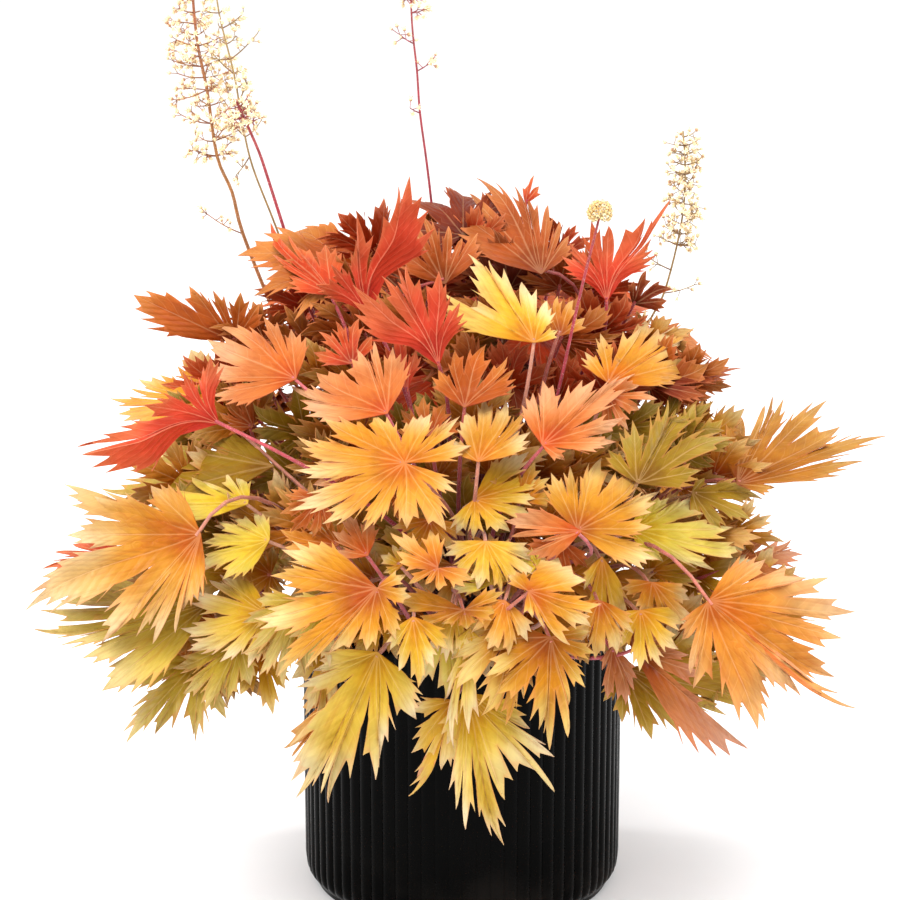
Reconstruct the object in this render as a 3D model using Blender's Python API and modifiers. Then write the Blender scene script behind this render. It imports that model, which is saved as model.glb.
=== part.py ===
"""A cut-leaved heuchera in its ribbed black pot: pot, soil, crown, leaves and flower stems."""

import math
import random

import bmesh
import bpy
from mathutils import Vector
from mathutils.bvhtree import BVHTree

MM = 0.001
WELD = 0.01 * MM

# Pot and what fills it
POT_DIAMETER = 190 * MM
POT_HEIGHT = 168 * MM
POT_WALL = 4.5 * MM
POT_FLOOR = 8 * MM
POT_TAPER = 4.5 * MM
RIB_COUNT = 72
RIB_DEPTH = 1.3 * MM
SOIL_LEVEL = 148 * MM
FIT_GAP = 0.3 * MM
CROWN_RADIUS = 27 * MM
CROWN_STUMP_RADIUS = 21 * MM
CROWN_STUMP_DEPTH = 22 * MM
CROWN_SIDES = 20
CROWN_RINGS = 5
FACET_ALLOWANCE = 0.2 * MM
CROWN_CENTRE = Vector((0, 0, SOIL_LEVEL - 2 * MM))

# Foliage
BLADE_THICKNESS = 0.8 * MM
STALK_RADIUS = 1.25 * MM
STALK_STEPS = 3
FOOT_GAP = 0.4 * MM
FOOT_SPACING = 5.2 * MM
CLEAR_GAP = 0.5 * MM
LAYER_STEP = 11 * MM
PUSH_STEP = 3.5 * MM
PUSH_TRIES = 18
FILLER_TRIES = 24
TOOTH_ROOM = 0.24
HOLLOW_SIDES = 32
LEAF_NODES = 50
LEAVES_A_NODE = 3

# How the photograph sees the plant, in pixels of its 901 x 900 frame
PICTURE_CENTRE_PX = (450.5, 450.0)
POT_AXIS_PX = 462.0
POT_FOOT_PY = 873.0
METRES_A_PIXEL = 0.607 * MM
VIEW_ELEVATION = math.radians(15)
VIEW_DISTANCE = 2.2
RIGHT = Vector((1, 0, 0))
UP = Vector((0, math.sin(VIEW_ELEVATION), math.cos(VIEW_ELEVATION)))
TOWARD = Vector((0, -math.cos(VIEW_ELEVATION), math.sin(VIEW_ELEVATION)))

# Leaf colours and roughness, by tone
TONES = {
    "gold": (0.72, 0.42, 0.06),
    "yellow": (0.80, 0.60, 0.10),
    "pale": (0.82, 0.72, 0.28),
    "orange": (0.78, 0.30, 0.06),
    "red": (0.66, 0.10, 0.05),
    "maroon": (0.25, 0.04, 0.03),
    "olive": (0.48, 0.40, 0.08),
    "salmon": (0.78, 0.34, 0.20),
}
LEAF_ROUGHNESS = 0.55

# Photographed leaves: base is where the stalk joins the blade, tips are the lobes' points, both in
# pixels; step is how many layers the leaf stands before the mound; lean is its own slope towards the
# viewer for each millimetre right and up, where the mound's slope would be wrong
LEAVES = [
    dict(name="leaf_left_01", base=(235, 342), step=0, tone="orange",
         tips=[(132, 294), (181, 291), (219, 288), (245, 293), (259, 303)]),
    dict(name="leaf_left_02", base=(298, 380), step=2, tone="salmon", lean=(0.3, -0.8),
         tips=[(212, 396), (204, 368), (209, 340), (220, 327), (262, 319), (292, 330)]),
    dict(name="leaf_left_03", base=(223, 424), step=3, tone="red", under=True, lean=(-0.2, 0.5),
         tips=[(84, 447), (92, 455), (101, 440), (150, 408), (183, 376), (216, 357)], via=(270, 442)),
    dict(name="leaf_left_04", base=(212, 402), step=0, tone="gold", lean=(0.4, -1.0),
         tips=[(107, 398), (116, 414), (132, 385), (141, 374), (189, 349)]),
    dict(name="leaf_left_05", base=(253, 427), step=1, tone="orange",
         tips=[(222, 426), (220, 412), (226, 398), (240, 394)]),
    dict(name="leaf_left_06", base=(274, 466), step=1, tone="olive", lean=(0.4, -0.8),
         tips=[(93, 489), (117, 493), (141, 496), (142, 437), (146, 450), (190, 440)]),
    dict(name="leaf_left_07", base=(249, 504), step=1, tone="pale", lean=(0.3, -1.0),
         tips=[(145, 492), (150, 508), (185, 485), (204, 477), (225, 474), (237, 476)]),
    dict(name="leaf_left_08", base=(201, 534), step=5, tone="gold", lean=(0.35, -0.3), via=(240, 520),
         tips=[(57, 496), (77, 493), (149, 486), (62, 539), (13, 616), (87, 637), (107, 637), (134, 639),
               (151, 647), (167, 633), (181, 612)]),
    dict(name="leaf_left_09", base=(130, 556), step=1, tone="red", lean=(0.4, -0.7),
         tips=[(36, 571), (52, 553), (70, 545), (60, 580)]),
    dict(name="leaf_left_10", base=(210, 603), step=1, tone="olive", lean=(0.35, -0.8),
         tips=[(25, 631), (58, 648), (39, 610), (55, 603), (83, 667), (99, 693)]),
    dict(name="leaf_left_11", base=(201, 657), step=1, tone="yellow", lean=(0.3, -0.2),
         tips=[(124, 687), (124, 745), (153, 739), (184, 735), (198, 743), (225, 720), (233, 697)]),
    dict(name="leaf_left_12", base=(268, 613), step=2, tone="pale", lean=(0.25, -0.6),
         tips=[(184, 653), (180, 628), (188, 593), (205, 585), (220, 575), (216, 660), (248, 668)]),
    dict(name="leaf_left_13", base=(270, 540), step=2, tone="pale", lean=(0.25, -0.8),
         tips=[(193, 571), (200, 545), (215, 525), (235, 515), (255, 512), (222, 580)]),
    dict(name="leaf_left_14", base=(262, 648), step=0, tone="yellow",
         tips=[(203, 670), (212, 650), (237, 695), (271, 718), (285, 690)]),
    dict(name="leaf_top_01", base=(369, 316), step=3, tone="red", under=True, lean=(0.1, 0.35),
         tips=[(314, 290), (326, 270), (351, 242), (370, 215), (393, 187), (410, 178)]),
    dict(name="leaf_top_02", base=(445, 284), step=1, tone="maroon",
         tips=[(395, 247), (401, 209), (417, 217), (449, 225), (459, 236), (478, 232)]),
    dict(name="leaf_top_03", base=(410, 300), step=0, tone="maroon", lean=(0, -0.8),
         tips=[(351, 215), (372, 226), (385, 250), (360, 250), (405, 240)]),
    dict(name="leaf_top_04", base=(332, 295), step=2, tone="maroon", lean=(0.2, -0.8),
         tips=[(268, 219), (276, 250), (290, 232), (307, 242), (325, 244), (288, 275)]),
    dict(name="leaf_top_05", base=(439, 366), step=5, tone="red", under=True, lean=(0, 0.35),
         tips=[(354, 287), (380, 280), (398, 269), (411, 266), (438, 272), (460, 303)], via=(445, 382)),
    dict(name="leaf_top_06", base=(534, 343), step=5, tone="yellow", lean=(0.1, -0.7),
         tips=[(441, 291), (468, 300), (468, 253), (495, 258), (520, 282), (540, 300), (558, 330)]),
    dict(name="leaf_top_07", base=(541, 275), step=1, tone="orange", lean=(0.1, -0.5),
         tips=[(459, 212), (470, 191), (477, 175), (505, 188), (527, 193), (545, 204), (564, 223),
               (569, 236)]),
    dict(name="leaf_top_08", base=(607, 302), step=2, tone="red", under=True, lean=(0, 0.3),
         tips=[(561, 257), (572, 240), (588, 223), (616, 227), (636, 216), (668, 202), (650, 240)]),
    dict(name="leaf_top_09", base=(633, 304), step=0, tone="maroon",
         tips=[(634, 281), (650, 272), (675, 288), (668, 300)]),
    dict(name="leaf_top_10", base=(560, 336), step=3, tone="orange",
         tips=[(534, 312), (545, 300), (558, 296), (574, 300), (585, 318)]),
    dict(name="leaf_top_11", base=(497, 262), step=-1, tone="olive", lean=(0, -0.5),
         tips=[(475, 250), (484, 228), (494, 232), (505, 243)]),
    dict(name="leaf_top_12", base=(608, 383), step=3, tone="gold", lean=(-0.2, -0.8),
         tips=[(697, 359), (691, 346), (697, 326), (675, 322), (650, 308), (634, 320), (611, 334),
               (585, 352)]),
    dict(name="leaf_top_13", base=(650, 385), step=1, tone="maroon", lean=(-0.2, -1.0),
         tips=[(708, 396), (716, 372), (745, 367), (712, 359), (690, 362)]),
    dict(name="leaf_top_14", base=(607, 395), step=4, tone="orange",
         tips=[(610, 432), (630, 429), (640, 410), (658, 399), (640, 385)]),
    dict(name="leaf_top_15", base=(525, 204), step=0, tone="red", lean=(0, 0),
         tips=[(529, 184), (534, 175), (539, 186)]),
    dict(name="leaf_right_01", base=(542, 445), step=6, tone="salmon", lean=(-0.1, -0.7),
         tips=[(533, 393), (551, 381), (590, 376), (637, 373), (620, 411), (616, 434), (565, 460)]),
    dict(name="leaf_right_02", base=(636, 483), step=3, tone="olive", lean=(-0.2, -0.75),
         tips=[(607, 450), (625, 420), (664, 399), (679, 409), (702, 411), (735, 438), (700, 470)]),
    dict(name="leaf_right_03", base=(680, 450), step=0, tone="olive",
         tips=[(676, 412), (700, 404), (725, 418), (738, 442), (716, 462)]),
    dict(name="leaf_right_04", base=(737, 484), step=1, tone="orange", lean=(-0.2, -0.9), via=(705, 476),
         tips=[(742, 416), (753, 401), (770, 393), (790, 399), (834, 401), (841, 423), (889, 436),
               (871, 465), (776, 488)]),
    dict(name="leaf_right_05", base=(692, 492), step=1, lean=(-0.3, -0.8), tone="olive",
         tips=[(705, 478), (766, 500), (751, 522), (722, 534), (700, 520)]),
    dict(name="leaf_right_06", base=(577, 530), step=6, tone="gold", lean=(-0.15, -0.7),
         tips=[(551, 473), (569, 466), (606, 459), (640, 470), (662, 492), (650, 520), (659, 560)]),
    dict(name="leaf_right_07", base=(630, 530), step=3, tone="pale", lean=(-0.25, -0.8),
         tips=[(664, 562), (720, 562), (761, 547), (735, 525), (712, 505), (670, 498)]),
    dict(name="leaf_right_08", base=(735, 565), step=0, lean=(-0.3, -0.6), tone="salmon",
         tips=[(765, 532), (776, 532), (792, 537), (806, 557), (811, 588)]),
    dict(name="leaf_right_09", base=(708, 601), step=5, tone="orange", lean=(-0.25, -0.3), via=(672, 580),
         tips=[(767, 560), (805, 567), (835, 593), (860, 610), (846, 640), (846, 670), (861, 711),
               (820, 702), (794, 708), (750, 734), (707, 692), (684, 672), (683, 640)]),
    dict(name="leaf_right_10", base=(652, 582), step=3, tone="gold",
         tips=[(621, 589), (647, 618), (671, 619), (692, 628), (690, 600)]),
    dict(name="leaf_right_11", base=(633, 650), step=3, tone="salmon", lean=(-0.3, -0.3),
         tips=[(629, 625), (673, 633), (690, 655), (706, 679), (720, 720), (751, 752)]),
    dict(name="leaf_right_12", base=(625, 668), step=1, tone="olive", lean=(-0.3, -0.2),
         tips=[(604, 702), (619, 723), (650, 742), (684, 742), (706, 744), (731, 717), (771, 707)]),
    dict(name="leaf_right_13", base=(612, 646), step=2, tone="salmon", lean=(-0.9, 0.0),
         tips=[(602, 670), (610, 700), (626, 706), (634, 690)]),
    dict(name="leaf_right_14", base=(602, 556), step=4, tone="yellow", lean=(-0.7, 0.1),
         tips=[(584, 590), (590, 640), (606, 657), (620, 630)]),
    dict(name="leaf_front_01", base=(405, 463), step=7, tone="gold", lean=(0.05, -0.75),
         tips=[(289, 511), (294, 467), (298, 432), (328, 415), (370, 416), (425, 412), (466, 421),
               (471, 446), (457, 493), (438, 534), (416, 528), (361, 532), (318, 520)]),
    dict(name="leaf_front_02", base=(474, 499), step=4, lean=(0, -0.7), tone="yellow",
         tips=[(456, 534), (480, 539), (507, 534), (533, 522), (541, 501), (543, 480), (529, 452)]),
    dict(name="leaf_front_03", base=(478, 462), step=5, tone="gold", lean=(0, -0.8),
         tips=[(451, 440), (462, 412), (483, 396), (505, 400), (525, 409), (530, 432)]),
    dict(name="leaf_front_04", base=(388, 414), step=5, tone="orange", lean=(0.2, -0.7),
         tips=[(300, 400), (290, 385), (320, 368), (350, 352), (378, 341), (393, 347)]),
    dict(name="leaf_front_05", base=(464, 408), step=4, lean=(0, -0.8), tone="orange",
         tips=[(438, 370), (458, 350), (486, 345), (505, 356), (514, 370)]),
    dict(name="leaf_front_06", base=(408, 392), step=3, tone="red", under=True, lean=(0.5, 0.1),
         tips=[(390, 372), (388, 345), (400, 332), (416, 350)]),
    dict(name="leaf_front_07", base=(352, 364), step=3, tone="red",
         tips=[(313, 352), (318, 332), (335, 320), (360, 318), (372, 336)]),
    dict(name="leaf_front_08", base=(377, 588), step=7, tone="yellow", lean=(0.1, -0.35),
         tips=[(281, 550), (269, 583), (251, 620), (276, 678), (306, 672), (332, 656), (360, 650),
               (392, 641), (411, 598), (406, 575)]),
    dict(name="leaf_front_09", base=(378, 652), step=5, tone="pale", lean=(0.05, 0.05),
         tips=[(312, 672), (300, 700), (292, 806), (321, 796), (329, 810), (362, 782), (394, 757),
               (416, 721)]),
    dict(name="leaf_front_10", base=(340, 690), step=3, tone="orange",
         tips=[(302, 708), (281, 749), (290, 760), (310, 742)]),
    dict(name="leaf_front_11", base=(413, 616), step=6, tone="yellow", lean=(0, -0.1),
         tips=[(390, 650), (403, 672), (418, 689), (434, 668), (448, 650)]),
    dict(name="leaf_front_12", base=(464, 610), step=6, lean=(0, -0.4), tone="orange",
         tips=[(395, 601), (411, 627), (440, 622), (469, 629), (498, 612), (505, 592)]),
    dict(name="leaf_front_13", base=(438, 568), step=8, tone="orange", lean=(0, -0.6),
         tips=[(390, 533), (397, 550), (407, 581), (426, 585), (440, 591), (473, 580), (430, 530)]),
    dict(name="leaf_front_14", base=(402, 566), step=5, tone="yellow", lean=(0, -0.7),
         tips=[(383, 573), (380, 556), (392, 545), (408, 544)]),
    dict(name="leaf_front_15", base=(551, 637), step=6, tone="orange", lean=(-0.05, -0.15),
         tips=[(482, 640), (480, 668), (500, 700), (531, 730), (551, 754), (564, 740), (564, 707),
               (577, 693), (594, 657), (590, 632)]),
    dict(name="leaf_front_16", base=(470, 628), step=5, tone="pale", lean=(0.2, 0.1),
         tips=[(452, 660), (449, 700), (454, 752), (474, 735), (490, 680)]),
    dict(name="leaf_front_17", base=(467, 693), step=4, tone="pale", lean=(0, 0.05),
         tips=[(447, 745), (454, 811), (468, 832), (505, 854), (509, 800), (523, 781), (554, 796),
               (548, 767), (530, 730)]),
    dict(name="leaf_front_18", base=(454, 700), step=3, tone="yellow",
         tips=[(412, 712), (405, 750), (408, 801), (423, 782), (441, 772)]),
    dict(name="leaf_front_19", base=(528, 591), step=8, tone="orange", lean=(0, -0.55),
         tips=[(508, 575), (587, 584), (602, 604), (592, 628), (571, 646), (550, 628), (533, 618)]),
    dict(name="leaf_front_20", base=(490, 585), step=5, lean=(0, -0.6), tone="pale",
         tips=[(451, 588), (452, 568), (474, 556), (500, 560), (512, 572)]),
    dict(name="leaf_front_21", base=(500, 560), step=4, tone="gold", lean=(0, -0.8),
         tips=[(461, 552), (470, 536), (492, 532), (513, 540), (520, 552)]),
    dict(name="leaf_front_22", base=(538, 566), step=6, tone="pale",
         tips=[(512, 580), (515, 562), (524, 550), (540, 548)]),
    dict(name="leaf_front_23", base=(338, 546), step=4, tone="orange", lean=(0.15, -0.8),
         tips=[(284, 548), (279, 530), (300, 514), (325, 512), (346, 520)]),
    dict(name="leaf_front_24", base=(368, 556), step=6, tone="salmon", lean=(0.2, -0.7),
         tips=[(336, 550), (334, 530), (346, 513), (366, 518)]),
]

# Leaves made by rule for the sides, the back and the inside: heights of their bases, how many in each
# ring, how far out they stand, blade length, tilt above level, and where the ring starts and ends
RINGS = [
    dict(name="leaf_low", count=9, height=198 * MM, reach=118 * MM, length=80 * MM, tilt=-40,
         start=-14, end=194, toothed=True, tones=("yellow", "olive", "gold")),
    dict(name="leaf_middle", count=8, height=258 * MM, reach=104 * MM, length=80 * MM, tilt=-14,
         start=-22, end=202, toothed=False, tones=("gold", "orange", "olive")),
    dict(name="leaf_high", count=7, height=312 * MM, reach=70 * MM, length=72 * MM, tilt=16,
         start=0, end=180, toothed=False, tones=("orange", "maroon", "red")),
    dict(name="leaf_crown", count=3, height=336 * MM, reach=30 * MM, length=52 * MM, tilt=40,
         start=40, end=140, toothed=False, tones=("red", "maroon", "orange")),
    dict(name="leaf_inner", count=5, height=262 * MM, reach=64 * MM, length=64 * MM, tilt=-34,
         start=198, end=342, toothed=False, tones=("orange", "gold", "olive")),
    dict(name="leaf_heart", count=4, height=318 * MM, reach=40 * MM, length=54 * MM, tilt=-28,
         start=200, end=340, toothed=False, tones=("maroon", "red")),
]
PALM_ANGLES = (-112, -75, -38, 0, 38, 75, 112)
PALM_LENGTHS = (0.62, 0.82, 0.95, 1.0, 0.95, 0.82, 0.62)

# Flower stems: route in pixels from the foliage up, distance behind the pot's axis, stem radius, and
# the span and reach of the flowering part, also in pixels
STEMS = [
    dict(name="flower_stem_left_tall", near=-52, radius=1.5, tone="orange",
         route=[(275, 315), (243, 234), (232, 192), (217, 156), (207, 90), (198, 46), (193, 0), (190, -60)],
         flowers=(155, -62), reach=25, florets=27),
    dict(name="flower_stem_left_thin", near=-30, radius=0.9, tone="olive",
         route=[(300, 295), (276, 227), (253, 168), (243, 126), (234, 74), (219, 13), (212, -45)],
         flowers=(130, -47), reach=21, florets=15),
    dict(name="flower_stem_left_red", near=-10, radius=1.5, tone="red",
         route=[(310, 305), (300, 278), (285, 232), (270, 185), (259, 152), (244, 118), (236, 100)],
         flowers=(120, 90), reach=16, florets=8),
    dict(name="flower_stem_middle", near=-20, radius=1.3, tone="red",
         route=[(433, 219), (427, 165), (420, 113), (417, 71), (413, 35), (411, 0), (409, -95)],
         flowers=(108, -97), reach=14, florets=10),
    dict(name="flower_stem_right", near=-45, radius=1.2, tone="olive",
         route=[(650, 320), (664, 293), (677, 245), (684, 204), (685, 165), (683, 131)],
         flowers=(250, 131), reach=18, florets=20),
    dict(name="flower_stem_bud", near=95, radius=1.3, tone="red",
         route=[(563, 371), (574, 321), (586, 270), (597, 227), (600, 212)],
         flowers=(222, 204), reach=12, florets=9),
]
FLORET_RADII = (0.5 * MM, 0.6 * MM, 2.8 * MM)


def unproject(px, py, depth):
    """The point that the photograph shows at a pixel, depth metres towards the viewer."""
    scale = METRES_A_PIXEL * (1 - depth / VIEW_DISTANCE)
    x = (PICTURE_CENTRE_PX[0] - POT_AXIS_PX) * METRES_A_PIXEL + (px - PICTURE_CENTRE_PX[0]) * scale
    rise = (POT_FOOT_PY - PICTURE_CENTRE_PX[1]) * METRES_A_PIXEL + (PICTURE_CENTRE_PX[1] - py) * scale
    return x * RIGHT + rise * UP + depth * TOWARD


def from_picture(px, py, near):
    """The point at a pixel that lies near metres before the pot's axis."""
    depth = near
    for _ in range(6):
        rise = unproject(px, py, depth).dot(UP)
        depth = (near + rise * math.sin(VIEW_ELEVATION)) / math.cos(VIEW_ELEVATION)
    return unproject(px, py, depth)


def mound(x, z):
    """How far the foliage's outside stands before the pot's axis at a place across and a height."""
    across = max(0.0, 1 - (x / (285 * MM)) ** 2)
    height = min(1.0, max(0.0, (435 * MM - z) / (205 * MM)))
    return 172 * MM * math.sqrt(across) * height


def on_mound(px, py, offset):
    """The point of the mound at a pixel, moved towards the viewer by offset."""
    near = 0.0
    for _ in range(8):
        point = from_picture(px, py, near)
        near = mound(point.x, point.z) + offset
    return from_picture(px, py, near)


def in_view(vector):
    """A vector's share across, up and towards the viewer."""
    return Vector((vector.dot(RIGHT), vector.dot(UP), vector.dot(TOWARD)))


def mound_lean(base, tips):
    """The slope across and up that lays a leaf from its base out along the mound."""
    xx = yy = xy = xn = yn = 0.0
    for px, py in tips:
        dx, dy, dn = in_view(on_mound(px, py, 10 * MM) - base)
        xx, yy, xy, xn, yn = xx + dx * dx, yy + dy * dy, xy + dx * dy, xn + dx * dn, yn + dy * dn
    xx, yy = xx + 0.0004, yy + 0.0004
    spread = xx * yy - xy * xy
    slopes = ((xn * yy - yn * xy) / spread, (yn * xx - xn * xy) / spread)
    return [min(0.9, max(-0.9, slope)) for slope in slopes]


def sorted_lobes(lobes):
    """Lobes (angle, length) in order round the blade, starting after the widest gap."""
    lobes = sorted(lobes)
    count = len(lobes)
    gaps = [(lobes[(k + 1) % count][0] - lobes[k][0]) % math.tau for k in range(count)]
    widest = max(range(count), key=gaps.__getitem__)
    turned = [lobes[(widest + 1 + k) % count] for k in range(count)]
    first = turned[0][0]
    return [(first + (angle - first) % math.tau, length) for angle, length in turned]


class Leaf:
    """A blade in its own flat frame, and the bend that carries it out of that frame."""

    def __init__(self, name, base, axis, side, lobes, bend, tone, under=False, via=None, filler=False,
                 toothed=True, seed=0):
        self.name, self.base, self.axis, self.side = name, base, axis, side
        self.bend, self.tone, self.under, self.via = bend, tone, under, via
        self.filler, self.toothed = filler, toothed
        self.lobes = sorted_lobes(lobes)
        self.length = max(length for _, length in self.lobes)
        self.normal = axis.cross(side).normalized()
        chance = random.Random(seed)
        self.droop = chance.uniform(0.10, 0.20)
        self.wave = chance.uniform(0.02, 0.045)
        self.phase = chance.uniform(0, math.tau)
        self.waves = chance.choice((2, 3))
        self.move = Vector((0, 0, 0))
        self.route = None
        self.node = name

    def point(self, angle, reach):
        """The blade's middle surface at an angle and a distance from the base."""
        share = reach / self.length
        lift = -self.droop * share * share
        lift += self.wave * share * share * math.sin(self.waves * angle + self.phase)
        flat = self.axis * (reach * math.cos(angle)) + self.side * (reach * math.sin(angle))
        return self.base + self.move + flat + self.bend * (lift * self.length)

    def middle(self):
        """The angle of the lobe that carries on the stalk's line."""
        return (self.lobes[0][0] + self.lobes[-1][0]) / 2


def sinus_share(gap):
    """How far out the notch between two lobes lies, as a share of the shorter one."""
    return min(0.88, max(0.4, 0.96 - 0.62 * gap))


def outline(leaf):
    """The lobes as lists of (angle, reach): notch, tooth, tip, tooth, next notch."""
    lobes = leaf.lobes
    open_angle = math.tau - (lobes[-1][0] - lobes[0][0])
    end = min(0.42, open_angle * 0.3)
    notches = [(lobes[0][0] - end, lobes[0][1] * 0.30)]
    for (angle, length), (next_angle, next_length) in zip(lobes, lobes[1:]):
        share = sinus_share(next_angle - angle)
        notches.append(((angle + next_angle) / 2, share * min(length, next_length)))
    notches.append((lobes[-1][0] + end, lobes[-1][1] * 0.30))
    rows = []
    for (angle, length), before, after in zip(lobes, notches, notches[1:]):
        row = [before]
        if leaf.toothed and angle - before[0] > TOOTH_ROOM:
            row.append((angle + (before[0] - angle) * 0.5, max(before[1] * 1.1, length * 0.76)))
        row.append((angle, length))
        if leaf.toothed and after[0] - angle > TOOTH_ROOM:
            row.append((angle + (after[0] - angle) * 0.5, max(after[1] * 1.1, length * 0.76)))
        row.append(after)
        rows.append(row)
    return rows


def blade_surface(leaf):
    """Points and triangles of the blade's middle surface."""
    points, faces, places = [leaf.point(0, 0)], [], {}

    def place(spot):
        if spot not in places:
            places[spot] = len(points)
            points.append(leaf.point(*spot))
        return places[spot]

    for row in outline(leaf):
        ring = [place(spot) for spot in row]
        faces.append((0, ring[0], ring[-1]))
        if len(ring) == 5:
            faces += [(ring[0], ring[1], ring[3]), (ring[0], ring[3], ring[4]), (ring[1], ring[2], ring[3])]
        elif len(ring) == 4:
            tooth = 1 if row[2][1] > row[1][1] else 2
            faces += [(ring[tooth], ring[(tooth + 1) % 4], ring[(tooth + 2) % 4])]
            faces += [(ring[tooth], ring[(tooth + 2) % 4], ring[(tooth + 3) % 4])]
        else:
            faces.append(tuple(ring))
    return points, faces


def slab(points, faces, thickness):
    """A quick test solid for a blade: its surface on both sides of the middle."""
    normals = [Vector((0, 0, 0)) for _ in points]
    for a, b, c in faces:
        normal = (points[b] - points[a]).cross(points[c] - points[a])
        for corner in (a, b, c):
            normals[corner] += normal
    shifts = [normal.normalized() * (thickness / 2) for normal in normals]
    top = [point + shift for point, shift in zip(points, shifts)]
    bottom = [point - shift for point, shift in zip(points, shifts)]
    count = len(points)
    sides = faces + [(a + count, c + count, b + count) for a, b, c in faces]
    edges = {}
    for face in faces:
        for a, b in zip(face, face[1:] + face[:1]):
            edges[(a, b)] = (b, a) not in edges
            if not edges[(a, b)]:
                edges[(b, a)] = False
    for (a, b), single in edges.items():
        if single:
            sides += [(a, a + count, b + count), (a, b + count, b)]
    return top + bottom, sides


def tube(route, radius):
    """A quick test solid for a stalk: a three-sided tube round its route."""
    points, faces = [], []
    for k, spot in enumerate(route):
        along = route[min(k + 1, len(route) - 1)] - route[max(k - 1, 0)]
        across = along.orthogonal().normalized() * radius
        other = along.cross(across).normalized() * radius
        for turn in range(3):
            angle = math.tau * turn / 3
            points.append(spot + across * math.cos(angle) + other * math.sin(angle))
        if k:
            for turn in range(3):
                a, b = (k - 1) * 3 + turn, (k - 1) * 3 + (turn + 1) % 3
                faces += [(a, b, b + 3), (a, b + 3, a + 3)]
    return points, faces


class Space:
    """What is already in its place: solids with their boxes, by owner."""

    def __init__(self):
        self.solids = []

    @staticmethod
    def solid(points, faces):
        tree = BVHTree.FromPolygons([tuple(point) for point in points], faces, all_triangles=True)
        low = [min(point[k] for point in points) for k in range(3)]
        high = [max(point[k] for point in points) for k in range(3)]
        return low, high, tree

    def add(self, name, node, kind, points, faces):
        self.solids.append((name, node, kind, self.solid(points, faces)))

    def remove(self, names):
        self.solids = [entry for entry in self.solids if entry[0] not in names]

    def hits(self, node, kind, points, faces):
        """The leaves and stems that a solid meets. Stalks of one node may meet: they share a foot."""
        low, high, tree = self.solid(points, faces)
        found = set()
        for owner, other_node, other_kind, (other_low, other_high, other) in self.solids:
            if owner in found or (other_node == node and kind == other_kind == "stalk"):
                continue
            if any(low[k] > other_high[k] or high[k] < other_low[k] for k in range(3)):
                continue
            if tree.overlap(other):
                found.add(owner)
        return found


def photographed_leaf(row, seed):
    """A leaf whose base and tips lie where the photograph shows them."""
    base = on_mound(*row["base"], row["step"] * LAYER_STEP - 22 * MM)
    lean = row.get("lean") or mound_lean(base, row["tips"])
    normal = (-lean[0] * RIGHT - lean[1] * UP + TOWARD).normalized()
    rays = []
    for px, py in row["tips"]:
        depth = base.dot(TOWARD)
        for _ in range(5):
            tip = unproject(px, py, depth)
            dx, dy, _ = in_view(tip - base)
            depth = base.dot(TOWARD) + lean[0] * dx + lean[1] * dy
        rays.append(unproject(px, py, depth) - base)
    axis = sum((ray.normalized() for ray in rays), Vector((0, 0, 0))).normalized()
    axis = (axis - normal * axis.dot(normal)).normalized()
    side = normal.cross(axis)
    lobes = [(math.atan2(ray.dot(side), ray.dot(axis)), ray.length) for ray in rays]
    bend = -TOWARD if row.get("under") else TOWARD.copy()
    return Leaf(row["name"], base, axis, side, lobes, bend, row["tone"], under=row.get("under", False),
                via=row.get("via"), seed=seed)


def ruled_leaves():
    """The leaves of the sides, the back and the inside, ring by ring."""
    made = []
    for ring_number, ring in enumerate(RINGS):
        chance = random.Random(40 + ring_number)
        for k in range(ring["count"]):
            share = (k + 0.5) / ring["count"]
            turn = math.radians(ring["start"] + (ring["end"] - ring["start"]) * share + chance.uniform(-5, 5))
            out = Vector((math.cos(turn), math.sin(turn), 0))
            tilt = math.radians(ring["tilt"] + chance.uniform(-10, 10))
            axis = out * math.cos(tilt) + Vector((0, 0, math.sin(tilt)))
            base = out * (ring["reach"] + chance.uniform(-10, 10) * MM)
            base.z = ring["height"] + chance.uniform(-12, 12) * MM
            upright = (Vector((0, 0, 1)) - axis * axis.z).normalized()
            roll = math.radians(chance.uniform(-16, 16))
            side = upright.cross(axis) * math.cos(roll) + upright * math.sin(roll)
            length = ring["length"] * chance.uniform(0.88, 1.1)
            lobes = []
            for angle, part in zip(PALM_ANGLES, PALM_LENGTHS):
                lobe_angle = math.radians(angle) * chance.uniform(0.94, 1.06)
                lobes.append((lobe_angle, length * part * chance.uniform(0.92, 1.06)))
            bend = axis.cross(side).normalized()
            made.append(Leaf(f"{ring['name']}_{k + 1:02d}", base, axis, side, lobes, bend,
                             ring["tones"][k % len(ring["tones"])], filler=True, toothed=ring["toothed"],
                             seed=300 + 20 * ring_number + k))
    return made


def bezier(a, b, c, d, steps):
    """Points of a smooth curve from a to d."""
    spots = []
    for k in range(steps + 1):
        t = k / steps
        s = 1 - t
        spots.append(a * s ** 3 + b * (3 * s * s * t) + c * (3 * s * t * t) + d * t ** 3)
    return spots


def outward_direction(spot):
    """The direction in which a stalk leaves the crown to reach a place."""
    away = spot - CROWN_CENTRE
    level = Vector((away.x, away.y, 0))
    rise = min(1.3, max(0.34, math.atan2(away.z, level.length) * 0.9))
    return level.normalized() * math.cos(rise) + Vector((0, 0, math.sin(rise)))


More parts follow.
